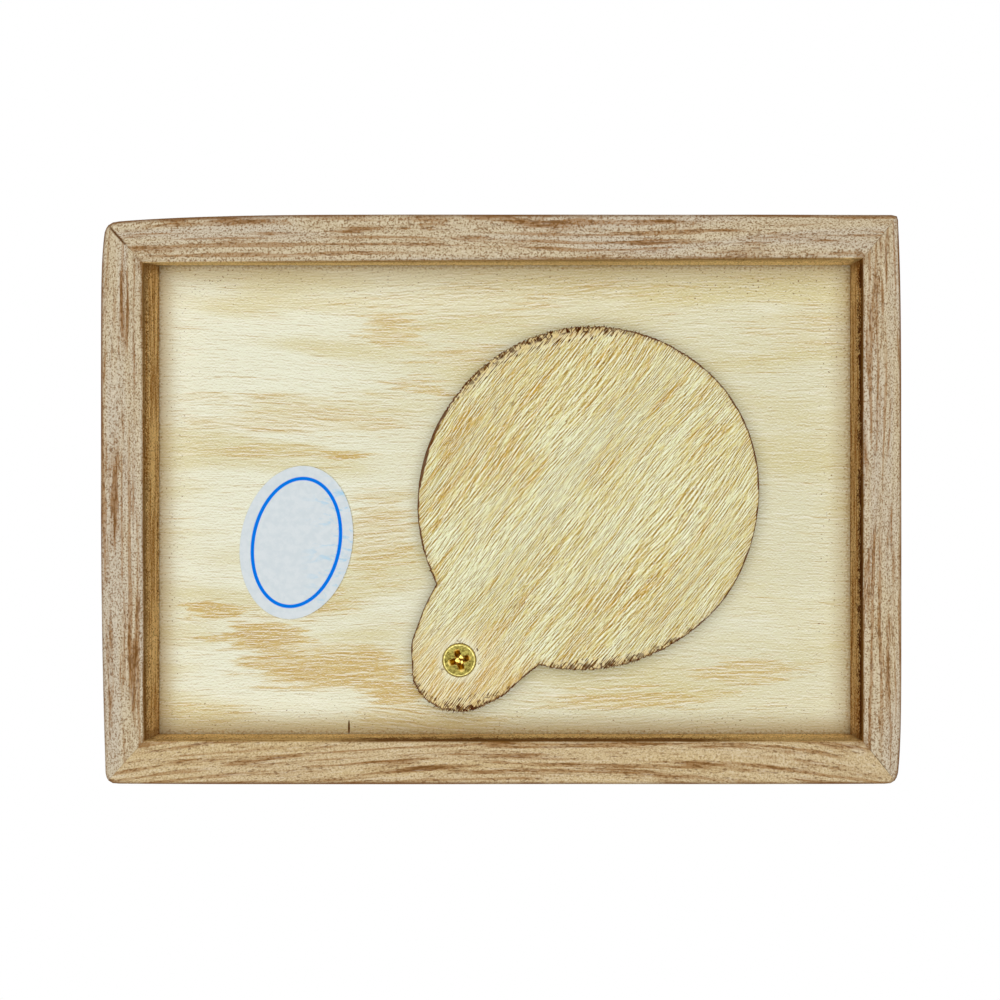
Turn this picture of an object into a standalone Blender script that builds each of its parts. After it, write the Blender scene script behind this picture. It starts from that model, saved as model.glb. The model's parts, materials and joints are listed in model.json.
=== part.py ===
"""A wooden coin bank: a mitred box with a coin slot in its top.

A cover swivels on one screw under the recessed bottom panel, and uncovers the emptying hole.
All sizes are in metres. The box stands on its rim at Z = 0, centred on the Z axis.
X runs along its length and Y along its width. Its front is at -Y and its left at -X.
"""

import math

import bmesh
import bpy
from mathutils import Matrix, Vector

# Box
BOX_LENGTH = 0.1524
BOX_WIDTH = 0.1085
BOX_HEIGHT = 0.1000
SIDE_THICKNESS = 0.0080
TOP_THICKNESS = 0.0080
EDGE_RADIUS = 0.0012
CORNER_WEAR = 0.0009  # how much rounder the four upright corners are than the edges
INNER_EDGE_RADIUS = 0.0006

# Coin slot in the middle of the top board
SLOT_LENGTH = 0.0400
SLOT_WIDTH = 0.0050
SLOT_CHAMFER = 0.0006

# Bottom panel, held in a groove in the four side boards
RECESS_DEPTH = 0.0070  # from the rim up to the panel
PANEL_THICKNESS = 0.0030
GROOVE_DEPTH = 0.0030
HOLE_DIAMETER = 0.0445

# Swivel cover: an oval disc over the emptying hole, with a tab that the screw goes through
COVER_THICKNESS = 0.0030
COVER_OVERLAP = 0.0103  # from the hole's edge to the disc's, across the tab's direction
DISC_STRETCH = 0.0016  # how much longer the disc is, at each end, along the tab's direction
TAB_RADIUS = 0.0102
TAB_FLARE = math.radians(14.4)
PIVOT_OVERHANG = 0.0060  # from the disc's edge out to the screw
PIVOT_X = -0.0083
TAB_WALL_GAP = 0.00495  # from the tab's round end to the back board
COVER_ANGLE = math.radians(-51.5)  # from the screw towards the disc

# Pivot screw: countersunk, with a cross recess and a coarse thread
SCREW_LENGTH = 0.0100
HEAD_DIAMETER = 0.0065
HEAD_LAND = 0.0004
HEAD_PROUD = 0.0002
THREAD_DIAMETER = 0.0032
THREAD_DEPTH = 0.0005
THREAD_PITCH = 0.0013
THREAD_RIDGE = 0.5  # the part of each turn that the ridge takes
SCREW_TIP_LENGTH = 0.0022
SCREW_POINT_RADIUS = 0.0001
CROSS_ARM_LENGTH = 0.0018
CROSS_ARM_WIDTH = 0.0009
CROSS_DEPTH = 0.0014
CROSS_TAPER = 0.5  # the cross's size at its floor, as a part of its size at the face
CROSS_ANGLE = math.radians(-13)

# Oval label on the panel's underside
LABEL_LENGTH = 0.0304
LABEL_WIDTH = 0.0220
LABEL_THICKNESS = 0.0001
LABEL_X = -0.0407
LABEL_Y = 0.0084
LABEL_ANGLE = math.radians(-79.2)

# Brads: thin nails through the corners and down through the top board
BRAD_LENGTH = 0.0160
BRAD_DIAMETER = 0.0012
BRAD_HEAD_DIAMETER = 0.0020
BRAD_HEAD_THICKNESS = 0.0005
BRAD_POINT_LENGTH = 0.0016
BRAD_SET = 0.0005  # how deep a head is punched below the surface
CORNER_BRAD_LOW = 0.0280
CORNER_BRAD_DROP = 0.0200  # from the side boards' top edge down to the upper corner brads
TOP_BRAD_INSET = 0.0260

# Clearances
GLUE_GAP = 0.0003
STICKER_GAP = 0.0001
SEAT_GAP = 0.0003
TURNING_GAP = 0.0003

# Fineness of round shapes, and how far a cutter reaches past what it cuts
ARC_STEPS = 5
ROUND_COLUMNS = 32
BRAD_COLUMNS = 12
OUTLINE_STEPS = 72
TAB_STEPS = 20
THREAD_ROWS_PER_TURN = 6
CUTTER_MARGIN = 0.0020

# Sizes that follow from those above
HALF_LENGTH = BOX_LENGTH / 2
HALF_WIDTH = BOX_WIDTH / 2
INNER_HALF_LENGTH = HALF_LENGTH - SIDE_THICKNESS
INNER_HALF_WIDTH = HALF_WIDTH - SIDE_THICKNESS
SIDE_TOP = BOX_HEIGHT - TOP_THICKNESS - GLUE_GAP
CORNER_RADIUS = EDGE_RADIUS + CORNER_WEAR
PANEL_BOTTOM = RECESS_DEPTH
PANEL_TOP = RECESS_DEPTH + PANEL_THICKNESS
LABEL_TOP = PANEL_BOTTOM - STICKER_GAP
LABEL_BOTTOM = LABEL_TOP - LABEL_THICKNESS
COVER_TOP = LABEL_BOTTOM - TURNING_GAP  # the cover swings across the label
COVER_BOTTOM = COVER_TOP - COVER_THICKNESS
HOLE_RADIUS = HOLE_DIAMETER / 2
DISC_ACROSS = HOLE_RADIUS + COVER_OVERLAP
DISC_ALONG = DISC_ACROSS + DISC_STRETCH
PIVOT_DISTANCE = DISC_ALONG + PIVOT_OVERHANG
PIVOT_Y = INNER_HALF_WIDTH - TAB_WALL_GAP - TAB_RADIUS
HOLE_X = PIVOT_X + PIVOT_DISTANCE * math.cos(COVER_ANGLE)
HOLE_Y = PIVOT_Y + PIVOT_DISTANCE * math.sin(COVER_ANGLE)
THREAD_RADIUS = THREAD_DIAMETER / 2
HEAD_RADIUS = HEAD_DIAMETER / 2
CONE_LENGTH = HEAD_RADIUS - THREAD_RADIUS  # the head's underside slopes at 45 degrees
SCREW_FACE = COVER_BOTTOM - HEAD_PROUD
BRAD_LINE_INSET = SIDE_THICKNESS / 2  # brads run down the middle of a board's thickness


def clear_scene():
    for item in list(bpy.context.scene.objects):
        bpy.data.objects.remove(item, do_unlink=True)


def make_material(name, colour, roughness, metallic=0.0):
    material = bpy.data.materials.new(name)
    material.use_nodes = True
    shader = material.node_tree.nodes["Principled BSDF"]
    shader.inputs["Base Color"].default_value = (*colour, 1.0)
    shader.inputs["Roughness"].default_value = roughness
    shader.inputs["Metallic"].default_value = metallic
    return material


def torched_wood(name):
    return make_material(name, (0.42, 0.29, 0.17), 0.75)


def plywood(name):
    return make_material(name, (0.78, 0.66, 0.44), 0.7)


def cover_wood(name):
    return make_material(name, (0.68, 0.50, 0.27), 0.75)


def brass(name):
    return make_material(name, (0.78, 0.60, 0.22), 0.3, 1.0)


def label_paper(name):
    return make_material(name, (0.80, 0.84, 0.87), 0.4)


def bright_steel(name):
    return make_material(name, (0.55, 0.55, 0.56), 0.35, 1.0)


def add_object(name, bm, material=None, smooth_angle=None):
    bmesh.ops.recalc_face_normals(bm, faces=bm.faces)
    mesh = bpy.data.meshes.new(name)
    bm.to_mesh(mesh)
    bm.free()
    if smooth_angle is not None:
        mesh.shade_smooth()
        mesh.set_sharp_from_angle(angle=smooth_angle)
    if material is not None:
        mesh.materials.append(material)
    item = bpy.data.objects.new(name, mesh)
    bpy.context.scene.collection.objects.link(item)
    return item


def as_cutter(item):
    item.hide_render = True
    item.display_type = "WIRE"
    return item


def cut(item, cutter, operation="DIFFERENCE"):
    modifier = item.modifiers.new(f"{operation.lower()}_{cutter.name}", "BOOLEAN")
    modifier.operation = operation
    modifier.object = cutter
    modifier.solver = "EXACT"


def rounded_rectangle(half_x, half_y, radius):
    """The outline of a rectangle with round corners, anticlockwise from its right side."""
    points = []
    for quarter, (side_x, side_y) in enumerate(((1, 1), (-1, 1), (-1, -1), (1, -1))):
        centre = Vector((side_x * (half_x - radius), side_y * (half_y - radius)))
        for step in range(ARC_STEPS + 1):
            angle = math.radians(90) * (quarter + step / ARC_STEPS)
            points.append(centre + radius * Vector((math.cos(angle), math.sin(angle))))
    return points


def rectangle(half_x, half_y):
    return [Vector((x * half_x, y * half_y)) for x, y in ((1, 1), (-1, 1), (-1, -1), (1, -1))]


def stadium(half_x, radius):
    """The outline of a slot along X with half-round ends."""
    points = []
    for half, side in enumerate((1, -1)):
        centre = Vector((side * (half_x - radius), 0))
        for step in range(2 * ARC_STEPS + 1):
            angle = math.radians(180) * (half + step / (2 * ARC_STEPS)) - math.radians(90)
            points.append(centre + radius * Vector((math.cos(angle), math.sin(angle))))
    return points


def oval(half_x, half_y):
    angles = [math.tau * step / OUTLINE_STEPS for step in range(OUTLINE_STEPS)]
    return [Vector((half_x * math.cos(angle), half_y * math.sin(angle))) for angle in angles]


def stack(sections):
    """A closed solid through flat outlines that have equally many points, given as (z, outline)."""
    bm = bmesh.new()
    rings = []
    for height, outline in sections:
        rings.append([bm.verts.new((point.x, point.y, height)) for point in outline])
    for lower, upper in zip(rings, rings[1:]):
        for index in range(len(lower)):
            following = (index + 1) % len(lower)
            bm.faces.new((lower[index], lower[following], upper[following], upper[index]))
    bm.faces.new(reversed(rings[0]))
    bm.faces.new(rings[-1])
    return bm


def turned(rows, columns):
    """A closed solid of revolution about Z, through rows of (z, radius at each column)."""
    bm = bmesh.new()
    rings = []
    for height, radii in rows:
        ring = []
        for column in range(columns):
            angle = math.tau * column / columns
            radius = radii[column]
            ring.append(bm.verts.new((radius * math.cos(angle), radius * math.sin(angle), height)))
        rings.append(ring)
    for lower, upper in zip(rings, rings[1:]):
        for column in range(columns):
            following = (column + 1) % columns
            bm.faces.new((lower[column], lower[following], upper[following], upper[column]))
    bm.faces.new(reversed(rings[0]))
    bm.faces.new(rings[-1])
    return bm


def round_rows(profile, columns):
    """Rows for turned() from a plain profile of (z, radius)."""
    return [(height, [radius] * columns) for height, radius in profile]


def edge_steps(radius):
    """How far a rounded edge is set back at each height above its face, as (height, setback)."""
    steps = []
    for step in range(ARC_STEPS + 1):
        angle = math.radians(90) * step / ARC_STEPS
        steps.append((radius * (1 - math.cos(angle)), radius * (1 - math.sin(angle))))
    return steps


def box_outline(setback):
    """The outside of the box in plan, moved inwards by setback."""
    return rounded_rectangle(HALF_LENGTH - setback, HALF_WIDTH - setback, CORNER_RADIUS - setback)


def make_inner_space():
    """What the four side boards leave free inside, with the rim's inner edges eased."""
    sections = [(-CUTTER_MARGIN, INNER_EDGE_RADIUS)]
    sections += edge_steps(INNER_EDGE_RADIUS)
    sections += [(SIDE_TOP + CUTTER_MARGIN, 0.0)]
    outlines = [
        (height, rectangle(INNER_HALF_LENGTH + spread, INNER_HALF_WIDTH + spread))
        for height, spread in sections
    ]
    return as_cutter(add_object("inner_space", stack(outlines)))


def make_panel_groove():
    outline = rectangle(INNER_HALF_LENGTH + GROOVE_DEPTH, INNER_HALF_WIDTH + GROOVE_DEPTH)
    sections = [(PANEL_BOTTOM - SEAT_GAP, outline), (PANEL_TOP + SEAT_GAP, outline)]
    return as_cutter(add_object("panel_groove", stack(sections)))


def make_mitre_wedge(name, half_along, half_across, turn):
    """The part of the frame that one side board takes, between its two mitres."""
    reach = SIDE_THICKNESS + CUTTER_MARGIN
    mitre_gap = GLUE_GAP / 2 * math.sqrt(2)
    outer_along = half_along + CUTTER_MARGIN - mitre_gap
    outer_across = half_across + CUTTER_MARGIN
    inner_along = half_along - reach - mitre_gap
    inner_across = half_across - reach
    outline = [
        Vector((-outer_along, -outer_across)),
        Vector((outer_along, -outer_across)),
        Vector((inner_along, -inner_across)),
        Vector((-inner_along, -inner_across)),
    ]
    sections = [(-CUTTER_MARGIN, outline), (SIDE_TOP + CUTTER_MARGIN, outline)]
    wedge = as_cutter(add_object(f"{name}_wedge", stack(sections)))
    wedge.rotation_euler = (0, 0, turn)
    return wedge


def make_side_boards(cutters):
    """Four boards cut from one rounded block, hollowed, grooved and parted at the mitres."""
    sections = [(height, box_outline(setback)) for height, setback in edge_steps(EDGE_RADIUS)]
    sections.append((SIDE_TOP, box_outline(0.0)))
    layout = (
        ("side_board_front", HALF_LENGTH, HALF_WIDTH, 0),
        ("side_board_right", HALF_WIDTH, HALF_LENGTH, 90),
        ("side_board_back", HALF_LENGTH, HALF_WIDTH, 180),
        ("side_board_left", HALF_WIDTH, HALF_LENGTH, 270),
    )
    for name, half_along, half_across, turn in layout:
        board = add_object(name, stack(sections), torched_wood(name), math.radians(30))
        cut(board, make_mitre_wedge(name, half_along, half_across, math.radians(turn)), "INTERSECT")
        for cutter in cutters:
            cut(board, cutter)


def make_coin_slot():
    """The slot's cutter, a little wider at both faces of the top board."""
    under = BOX_HEIGHT - TOP_THICKNESS
    sections = (
        (under - CUTTER_MARGIN, SLOT_CHAMFER + CUTTER_MARGIN),
        (under + SLOT_CHAMFER, 0.0),
        (BOX_HEIGHT - SLOT_CHAMFER, 0.0),
        (BOX_HEIGHT + CUTTER_MARGIN, SLOT_CHAMFER + CUTTER_MARGIN),
    )
    outlines = [
        (height, stadium(SLOT_LENGTH / 2 + spread, SLOT_WIDTH / 2 + spread))
        for height, spread in sections
    ]
    return as_cutter(add_object("coin_slot", stack(outlines)))


def make_top_board(brad_holes):
    sections = [(BOX_HEIGHT - TOP_THICKNESS, box_outline(0.0))]
    for height, setback in reversed(edge_steps(EDGE_RADIUS)):
        sections.append((BOX_HEIGHT - height, box_outline(setback)))
    board = add_object("top_board", stack(sections), torched_wood("top_board"), math.radians(30))
    cut(board, make_coin_slot())
    cut(board, brad_holes)


def make_round_cutter(name, radius, place, bottom, top):
    bm = turned(round_rows([(bottom, radius), (top, radius)], OUTLINE_STEPS), OUTLINE_STEPS)
    cutter = as_cutter(add_object(name, bm))
    cutter.location = (*place, 0)
    return cutter


def make_bottom_panel():
    margin = GROOVE_DEPTH - SEAT_GAP
    outline = rectangle(INNER_HALF_LENGTH + margin, INNER_HALF_WIDTH + margin)
    sections = [(PANEL_BOTTOM, outline), (PANEL_TOP, outline)]
    panel = add_object("bottom_panel", stack(sections), plywood("bottom_panel"))
    bottom = PANEL_BOTTOM - CUTTER_MARGIN
    top = PANEL_TOP + CUTTER_MARGIN
    emptying_hole = make_round_cutter("emptying_hole", HOLE_RADIUS, (HOLE_X, HOLE_Y), bottom, top)
    screw_radius = THREAD_RADIUS + SEAT_GAP
    screw_hole = make_round_cutter("panel_screw_hole", screw_radius, (PIVOT_X, PIVOT_Y), bottom, top)
    cut(panel, emptying_hole)
    cut(panel, screw_hole)


def neck_point():
    """Where the tab's straight flank meets the disc, with the screw at the origin."""
    start = TAB_RADIUS * Vector((-math.sin(TAB_FLARE), math.cos(TAB_FLARE)))
    heading = Vector((math.cos(TAB_FLARE), math.sin(TAB_FLARE)))
    from_disc = start - Vector((PIVOT_DISTANCE, 0))
    square = (heading.x / DISC_ALONG) ** 2 + (heading.y / DISC_ACROSS) ** 2
    linear = from_disc.x * heading.x / DISC_ALONG**2 + from_disc.y * heading.y / DISC_ACROSS**2
    constant = (from_disc.x / DISC_ALONG) ** 2 + (from_disc.y / DISC_ACROSS) ** 2 - 1
    distance = (-linear - math.sqrt(linear**2 - square * constant)) / square
    return start + distance * heading


def cover_outline():
    """The cover in plan, with the screw at the origin and the disc along +X."""
    neck = neck_point()
    neck_angle = math.atan2(neck.y / DISC_ACROSS, (neck.x - PIVOT_DISTANCE) / DISC_ALONG)
    points = []
    for step in range(OUTLINE_STEPS + 1):
        angle = neck_angle * (2 * step / OUTLINE_STEPS - 1)
        along = PIVOT_DISTANCE + DISC_ALONG * math.cos(angle)
        points.append(Vector((along, DISC_ACROSS * math.sin(angle))))
    tab_start = math.radians(90) + TAB_FLARE
    for step in range(TAB_STEPS + 1):
        angle = tab_start + (math.tau - 2 * tab_start) * step / TAB_STEPS
        points.append(TAB_RADIUS * Vector((math.cos(angle), math.sin(angle))))
    return points


def make_swivel_cover():
    outline = cover_outline()
    sections = [(COVER_BOTTOM, outline), (COVER_TOP, outline)]
    cover = add_object("swivel_cover", stack(sections), cover_wood("swivel_cover"), math.radians(30))
    cover.location = (PIVOT_X, PIVOT_Y, 0)
    cover.rotation_euler = (0, 0, COVER_ANGLE)
    land_top = SCREW_FACE + HEAD_LAND
    countersink = [
        (COVER_BOTTOM - CUTTER_MARGIN, HEAD_RADIUS + TURNING_GAP),
        (land_top, HEAD_RADIUS + TURNING_GAP),
        (land_top + CONE_LENGTH, THREAD_RADIUS + TURNING_GAP),
        (COVER_TOP + CUTTER_MARGIN, THREAD_RADIUS + TURNING_GAP),
    ]
    bm = turned(round_rows(countersink, ROUND_COLUMNS), ROUND_COLUMNS)
    cutter = as_cutter(add_object("countersink", bm))
    cutter.location = (PIVOT_X, PIVOT_Y, 0)
    cut(cover, cutter)


def thread_radii(height, start, end):
    """Radii around the screw at a height: a ridge that climbs one pitch in each turn."""
    run_in = min(1.0, (height - start) / THREAD_PITCH)
    groove_radius = THREAD_RADIUS - THREAD_DEPTH * run_in
    taper = min(1.0, (end - height) / SCREW_TIP_LENGTH)
    radii = []
    for column in range(ROUND_COLUMNS):
        phase = ((height - start) / THREAD_PITCH - column / ROUND_COLUMNS) % 1.0
        ridge = max(0.0, 1 - 2 * abs(phase - 0.5) / THREAD_RIDGE)
        radius = groove_radius + (THREAD_RADIUS - groove_radius) * ridge
        radii.append(SCREW_POINT_RADIUS + (radius - SCREW_POINT_RADIUS) * taper)
    return radii


def cross_outline(arm_length, arm_width):
    """A plus sign with four equal arms."""
    half = arm_width / 2
    points = []
    for quarter in range(4):
        turn = Matrix.Rotation(math.radians(90) * quarter, 2)
        for corner in (Vector((half, half)), Vector((half, arm_length)), Vector((-half, arm_length))):
            points.append(turn @ corner)
    return points


def make_cross_recess():
    mouth = cross_outline(CROSS_ARM_LENGTH, CROSS_ARM_WIDTH)
    floor = cross_outline(CROSS_ARM_LENGTH * CROSS_TAPER, CROSS_ARM_WIDTH * CROSS_TAPER)
    sections = [
        (SCREW_FACE - CUTTER_MARGIN, mouth),
        (SCREW_FACE, mouth),
        (SCREW_FACE + CROSS_DEPTH, floor),
    ]
    cutter = as_cutter(add_object("cross_recess", stack(sections)))
    cutter.location = (PIVOT_X, PIVOT_Y, 0)
    cutter.rotation_euler = (0, 0, CROSS_ANGLE)
    return cutter


def make_pivot_screw():
    """Head down in the cover, with its point up in the coin chamber."""
    cone_end = SCREW_FACE + HEAD_LAND + CONE_LENGTH
    end = SCREW_FACE + SCREW_LENGTH
    profile = [
        (SCREW_FACE, HEAD_RADIUS),
        (SCREW_FACE + HEAD_LAND, HEAD_RADIUS),
        (cone_end, THREAD_RADIUS),
    ]
    rows = round_rows(profile, ROUND_COLUMNS)
    row_count = round((end - cone_end) / THREAD_PITCH * THREAD_ROWS_PER_TURN)
    for row in range(1, row_count + 1):
        height = cone_end + (end - cone_end) * row / row_count
        rows.append((height, thread_radii(height, cone_end, end)))
    screw = add_object("pivot_screw", turned(rows, ROUND_COLUMNS), brass("pivot_screw"), math.radians(40))
    screw.location = (PIVOT_X, PIVOT_Y, 0)
    cut(screw, make_cross_recess())


def make_label():
    outline = oval(LABEL_LENGTH / 2, LABEL_WIDTH / 2)
    sections = [(LABEL_BOTTOM, outline), (LABEL_TOP, outline)]
    label = add_object("oval_label", stack(sections), label_paper("oval_label"))
    label.location = (LABEL_X, LABEL_Y, 0)
    label.rotation_euler = (0, 0, LABEL_ANGLE)


def brad_places():
    """Name, place on the surface and inward direction of each brad."""
    places = []
    brad_y = HALF_WIDTH - BRAD_LINE_INSET
    levels = (("low", CORNER_BRAD_LOW), ("high", SIDE_TOP - CORNER_BRAD_DROP))
    for side_y, depth_name in ((-1, "front"), (1, "back")):
        for side_x, side_name in ((-1, "left"), (1, "right")):
            for level_name, height in levels:
                name = f"corner_brad_{depth_name}_{side_name}_{level_name}"
                place = Vector((side_x * HALF_LENGTH, side_y * brad_y, height))
                places.append((name, place, Vector((-side_x, 0, 0))))
        for step, side_name in ((-1, "left"), (0, "middle"), (1, "right")):
            name = f"top_brad_{depth_name}_{side_name}"
            place = Vector((step * (HALF_LENGTH - TOP_BRAD_INSET), side_y * brad_y, BOX_HEIGHT))
            places.append((name, place, Vector((0, 0, -1))))
    return places


def brad_profile():
    return [
        (BRAD_SET, BRAD_HEAD_DIAMETER / 2),
        (BRAD_SET + BRAD_HEAD_THICKNESS, BRAD_HEAD_DIAMETER / 2),
        (BRAD_SET + BRAD_HEAD_THICKNESS, BRAD_DIAMETER / 2),
        (BRAD_LENGTH - BRAD_POINT_LENGTH, BRAD_DIAMETER / 2),
        (BRAD_LENGTH, BRAD_DIAMETER / 8),
    ]


def brad_hole_profile():
    return [
        (-CUTTER_MARGIN, BRAD_HEAD_DIAMETER / 2 + SEAT_GAP),
        (BRAD_SET + BRAD_HEAD_THICKNESS + SEAT_GAP, BRAD_HEAD_DIAMETER / 2 + SEAT_GAP),
        (BRAD_SET + BRAD_HEAD_THICKNESS + SEAT_GAP, BRAD_DIAMETER / 2 + SEAT_GAP),
        (BRAD_LENGTH + SEAT_GAP, BRAD_DIAMETER / 2 + SEAT_GAP),
    ]


def place_along(place, heading):
    """A matrix that stands a shape made along +Z at a place, pointing along heading."""
    return Matrix.Translation(place) @ heading.to_track_quat("Z", "Y").to_matrix().to_4x4()


def make_brads():
    for name, place, heading in brad_places():
        bm = turned(round_rows(brad_profile(), BRAD_COLUMNS), BRAD_COLUMNS)
        brad = add_object(name, bm, bright_steel(name), math.radians(40))
        brad.matrix_world = place_along(place, heading)


def make_brad_holes():
    """One cutter with a hole for each brad."""
    holes = bmesh.new()
    for name, place, heading in brad_places():
        hole = turned(round_rows(brad_hole_profile(), BRAD_COLUMNS), BRAD_COLUMNS)
        hole.transform(place_along(place, heading))
        mesh = bpy.data.meshes.new(f"{name}_hole")
        hole.to_mesh(mesh)
        hole.free()
        holes.from_mesh(mesh)
        bpy.data.meshes.remove(mesh)
    return as_cutter(add_object("brad_holes", holes))


def main():
    clear_scene()
    brad_holes = make_brad_holes()
    make_side_boards((make_inner_space(), make_panel_groove(), brad_holes))
    make_top_board(brad_holes)
    make_bottom_panel()
    make_swivel_cover()
    make_pivot_screw()
    make_label()
    make_brads()


main()
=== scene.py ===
import json
import math

import bmesh
import bpy
import numpy as np
from mathutils import Matrix, Vector, noise


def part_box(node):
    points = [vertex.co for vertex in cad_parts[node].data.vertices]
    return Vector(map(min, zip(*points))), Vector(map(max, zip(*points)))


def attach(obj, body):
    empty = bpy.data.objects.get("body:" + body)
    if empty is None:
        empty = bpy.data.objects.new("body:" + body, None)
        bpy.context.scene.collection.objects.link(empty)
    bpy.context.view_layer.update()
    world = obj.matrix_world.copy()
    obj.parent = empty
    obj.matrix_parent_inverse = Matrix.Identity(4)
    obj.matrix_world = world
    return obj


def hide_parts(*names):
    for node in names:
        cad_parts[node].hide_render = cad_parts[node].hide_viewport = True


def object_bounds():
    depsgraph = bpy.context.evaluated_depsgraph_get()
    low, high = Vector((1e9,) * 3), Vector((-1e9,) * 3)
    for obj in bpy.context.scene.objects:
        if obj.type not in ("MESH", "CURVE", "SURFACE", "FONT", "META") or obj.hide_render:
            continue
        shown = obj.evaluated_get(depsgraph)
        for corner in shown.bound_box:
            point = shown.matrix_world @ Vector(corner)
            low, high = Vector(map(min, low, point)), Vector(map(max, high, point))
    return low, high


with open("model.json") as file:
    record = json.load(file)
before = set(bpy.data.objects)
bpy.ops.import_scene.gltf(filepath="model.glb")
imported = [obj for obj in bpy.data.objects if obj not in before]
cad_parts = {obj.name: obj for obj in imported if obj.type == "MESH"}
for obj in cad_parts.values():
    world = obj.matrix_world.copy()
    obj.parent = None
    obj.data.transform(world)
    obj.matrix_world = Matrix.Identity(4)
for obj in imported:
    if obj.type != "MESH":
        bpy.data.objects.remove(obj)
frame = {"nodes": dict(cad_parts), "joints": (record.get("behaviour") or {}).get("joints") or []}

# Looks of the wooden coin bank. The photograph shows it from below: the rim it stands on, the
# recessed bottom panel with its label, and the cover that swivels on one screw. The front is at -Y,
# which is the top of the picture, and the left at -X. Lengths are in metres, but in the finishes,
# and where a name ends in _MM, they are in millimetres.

CAD_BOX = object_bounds()

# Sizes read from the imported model
HALF_LENGTH, HALF_WIDTH, BOX_HEIGHT = CAD_BOX[1]
INNER_HALF_LENGTH = -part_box("side_board_left")[1].x
INNER_HALF_WIDTH = -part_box("side_board_front")[1].y
SIDE_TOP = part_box("side_board_front")[1].z
SIDE_THICKNESS = HALF_LENGTH - INNER_HALF_LENGTH
PANEL_BOTTOM, PANEL_TOP = (corner.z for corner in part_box("bottom_panel"))
COVER_BOTTOM, COVER_TOP = (corner.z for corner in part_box("swivel_cover"))
SCREW_FACE, SCREW_POINT = (corner.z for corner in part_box("pivot_screw"))
LABEL_BOTTOM, LABEL_TOP = (corner.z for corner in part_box("oval_label"))
PIVOT = Vector(frame["joints"][0]["pos_m"])

# Camera, below the bank and looking straight up
CAMERA_PLACE = (0.0112, 0.0026, -0.187)
CAMERA_LENS = 35.43
CAMERA_SHIFT = (-0.060, 0.013)

# Light: how much of full light comes from all round, and from the large lamp below
DOME_SHARE = 0.12
LOW_LAMP_SHARE = 0.89
LOW_LAMP_SIZE = (0.78, 0.88)
LOW_LAMP_PLACE = (-0.02, -0.02, -0.45)
HIGH_LAMP_SIZE = (0.6, 0.6)
HIGH_LAMPS = (
    ("high_front_lamp", (-0.35, -0.75, 0.60), 0.52),
    ("high_right_lamp", (0.75, -0.25, 0.45), 0.38),
    ("high_back_lamp", (0.10, 0.80, 0.55), 0.38),
    ("high_left_lamp", (-0.75, 0.30, 0.50), 0.34),
)
FLOOR_HALF_SIZE = 3.0
FLOOR_SHADE = (0.86, 0.86, 0.86, 1)

# Side boards
EDGE_RADIUS = 0.00035
INNER_EDGE_RADIUS = 0.00025
# Upright corners, by the signs of X and Y: one is sharper than the others
CORNER_RADII = {(-1, -1): 0.0021, (1, -1): 0.0009, (1, 1): 0.0021, (-1, 1): 0.0021}
GROOVE_DEPTH = 0.0030
GROOVE_GAP = 0.0002
MITRE_GAP = 0.00001
ROUGHNESS_DEPTH = 0.00008
ROUGHNESS_STRETCH = (0.05, 0.5, 0.5)
SIDE_ROUGHNESS_STEP = 7.3  # keeps one board's roughness apart from the next one's
TOP_ROUGHNESS_SHIFT = 31.7
MITRE_CALM = 0.0015  # how near a mitre the roughness starts to die out
WEAR_HEIGHT = 0.020
SHIFT_FADE = 4.0  # board thicknesses from a corner over which an inner face's shift dies out
SHIFT_FADE_ABOVE = 0.004  # how fast it dies out above the panel
BOARD_COLUMNS = 110
# How far each side's outer face is worn back at its two ends, and how suddenly
RIM_WEAR = {
    "front": ((0.00153, 4.2), (0.0001, 2.0)),
    "back": ((0.0001, 5.0), (0.0001, 8.0)),
    "left": ((0.00106, 10.0), (0.00095, 1.8)),
    "right": ((0.0007, 5.0), (0.0009, 9.0)),
}
# How far each side's inner face stands in from its true place: at the rim's two ends, and at the panel
INNER_SHIFT = {
    "front": (0.00140, 0.00045, 0.00010),
    "back": (0.00040, 0.00040, 0.00020),
    "left": (0.00015, 0.00042, 0.00055),
    "right": (-0.00045, -0.00040, -0.00010),
}

# Brads, as shares of the head's radius in the model
BRAD_POCKET_SHARE = 1.12
BRAD_BORE_SHARE = 0.75
BRAD_POCKET_DEPTH = 0.0013
BRAD_COLUMNS = 24

# Top board
SLOT_LENGTH = 0.0400
SLOT_WIDTH = 0.0050
SLOT_CHAMFER = 0.0006
SLOT_COLUMNS = 48
TOP_GAP = 0.00008
TOP_EDGE_RADIUS = 0.0010

# Cover
GRAIN_ANGLE = math.radians(-51)  # the direction of the cover's grain
COVER_POINTS = 1000
TAB_REACH = 0.0150
HOLE_CENTRE = (0.0167, -0.0003)
# Where the saw strayed from the true outline: direction in degrees, width of the angle, and how far out
TAB_WANDER = ((178, 20, -0.00090), (37, 14, 0.00060), (-123, 12, 0.00025))
DISC_WANDER = ((-62, 24, -0.00045), (-120, 24, 0.00020), (36, 18, 0.00035))
# Where the saw tore the edge: direction in degrees, width of the angle, and how badly
TAB_TORN = ((82, 48, 1.0), (150, 16, 0.4))
DISC_TORN = ((-99, 21, 1.0), (-131, 15, 0.7), (-62, 22, 0.25), (88, 20, 0.8), (60, 14, 0.4), (157, 9, 0.3))
TORN_REACH_MM = 3.0
TORN_DEPTH = 0.00110
SPLINTER_SEED = 11
# Crumbs of wood round the screw: direction in degrees and distance from its middle
SCREW_BURRS = ((-90, 0.00365), (-26, 0.00400), (3, 0.00395), (150, 0.00370))
BURR_FIBRES = 6
BURR_SEED = 5

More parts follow.
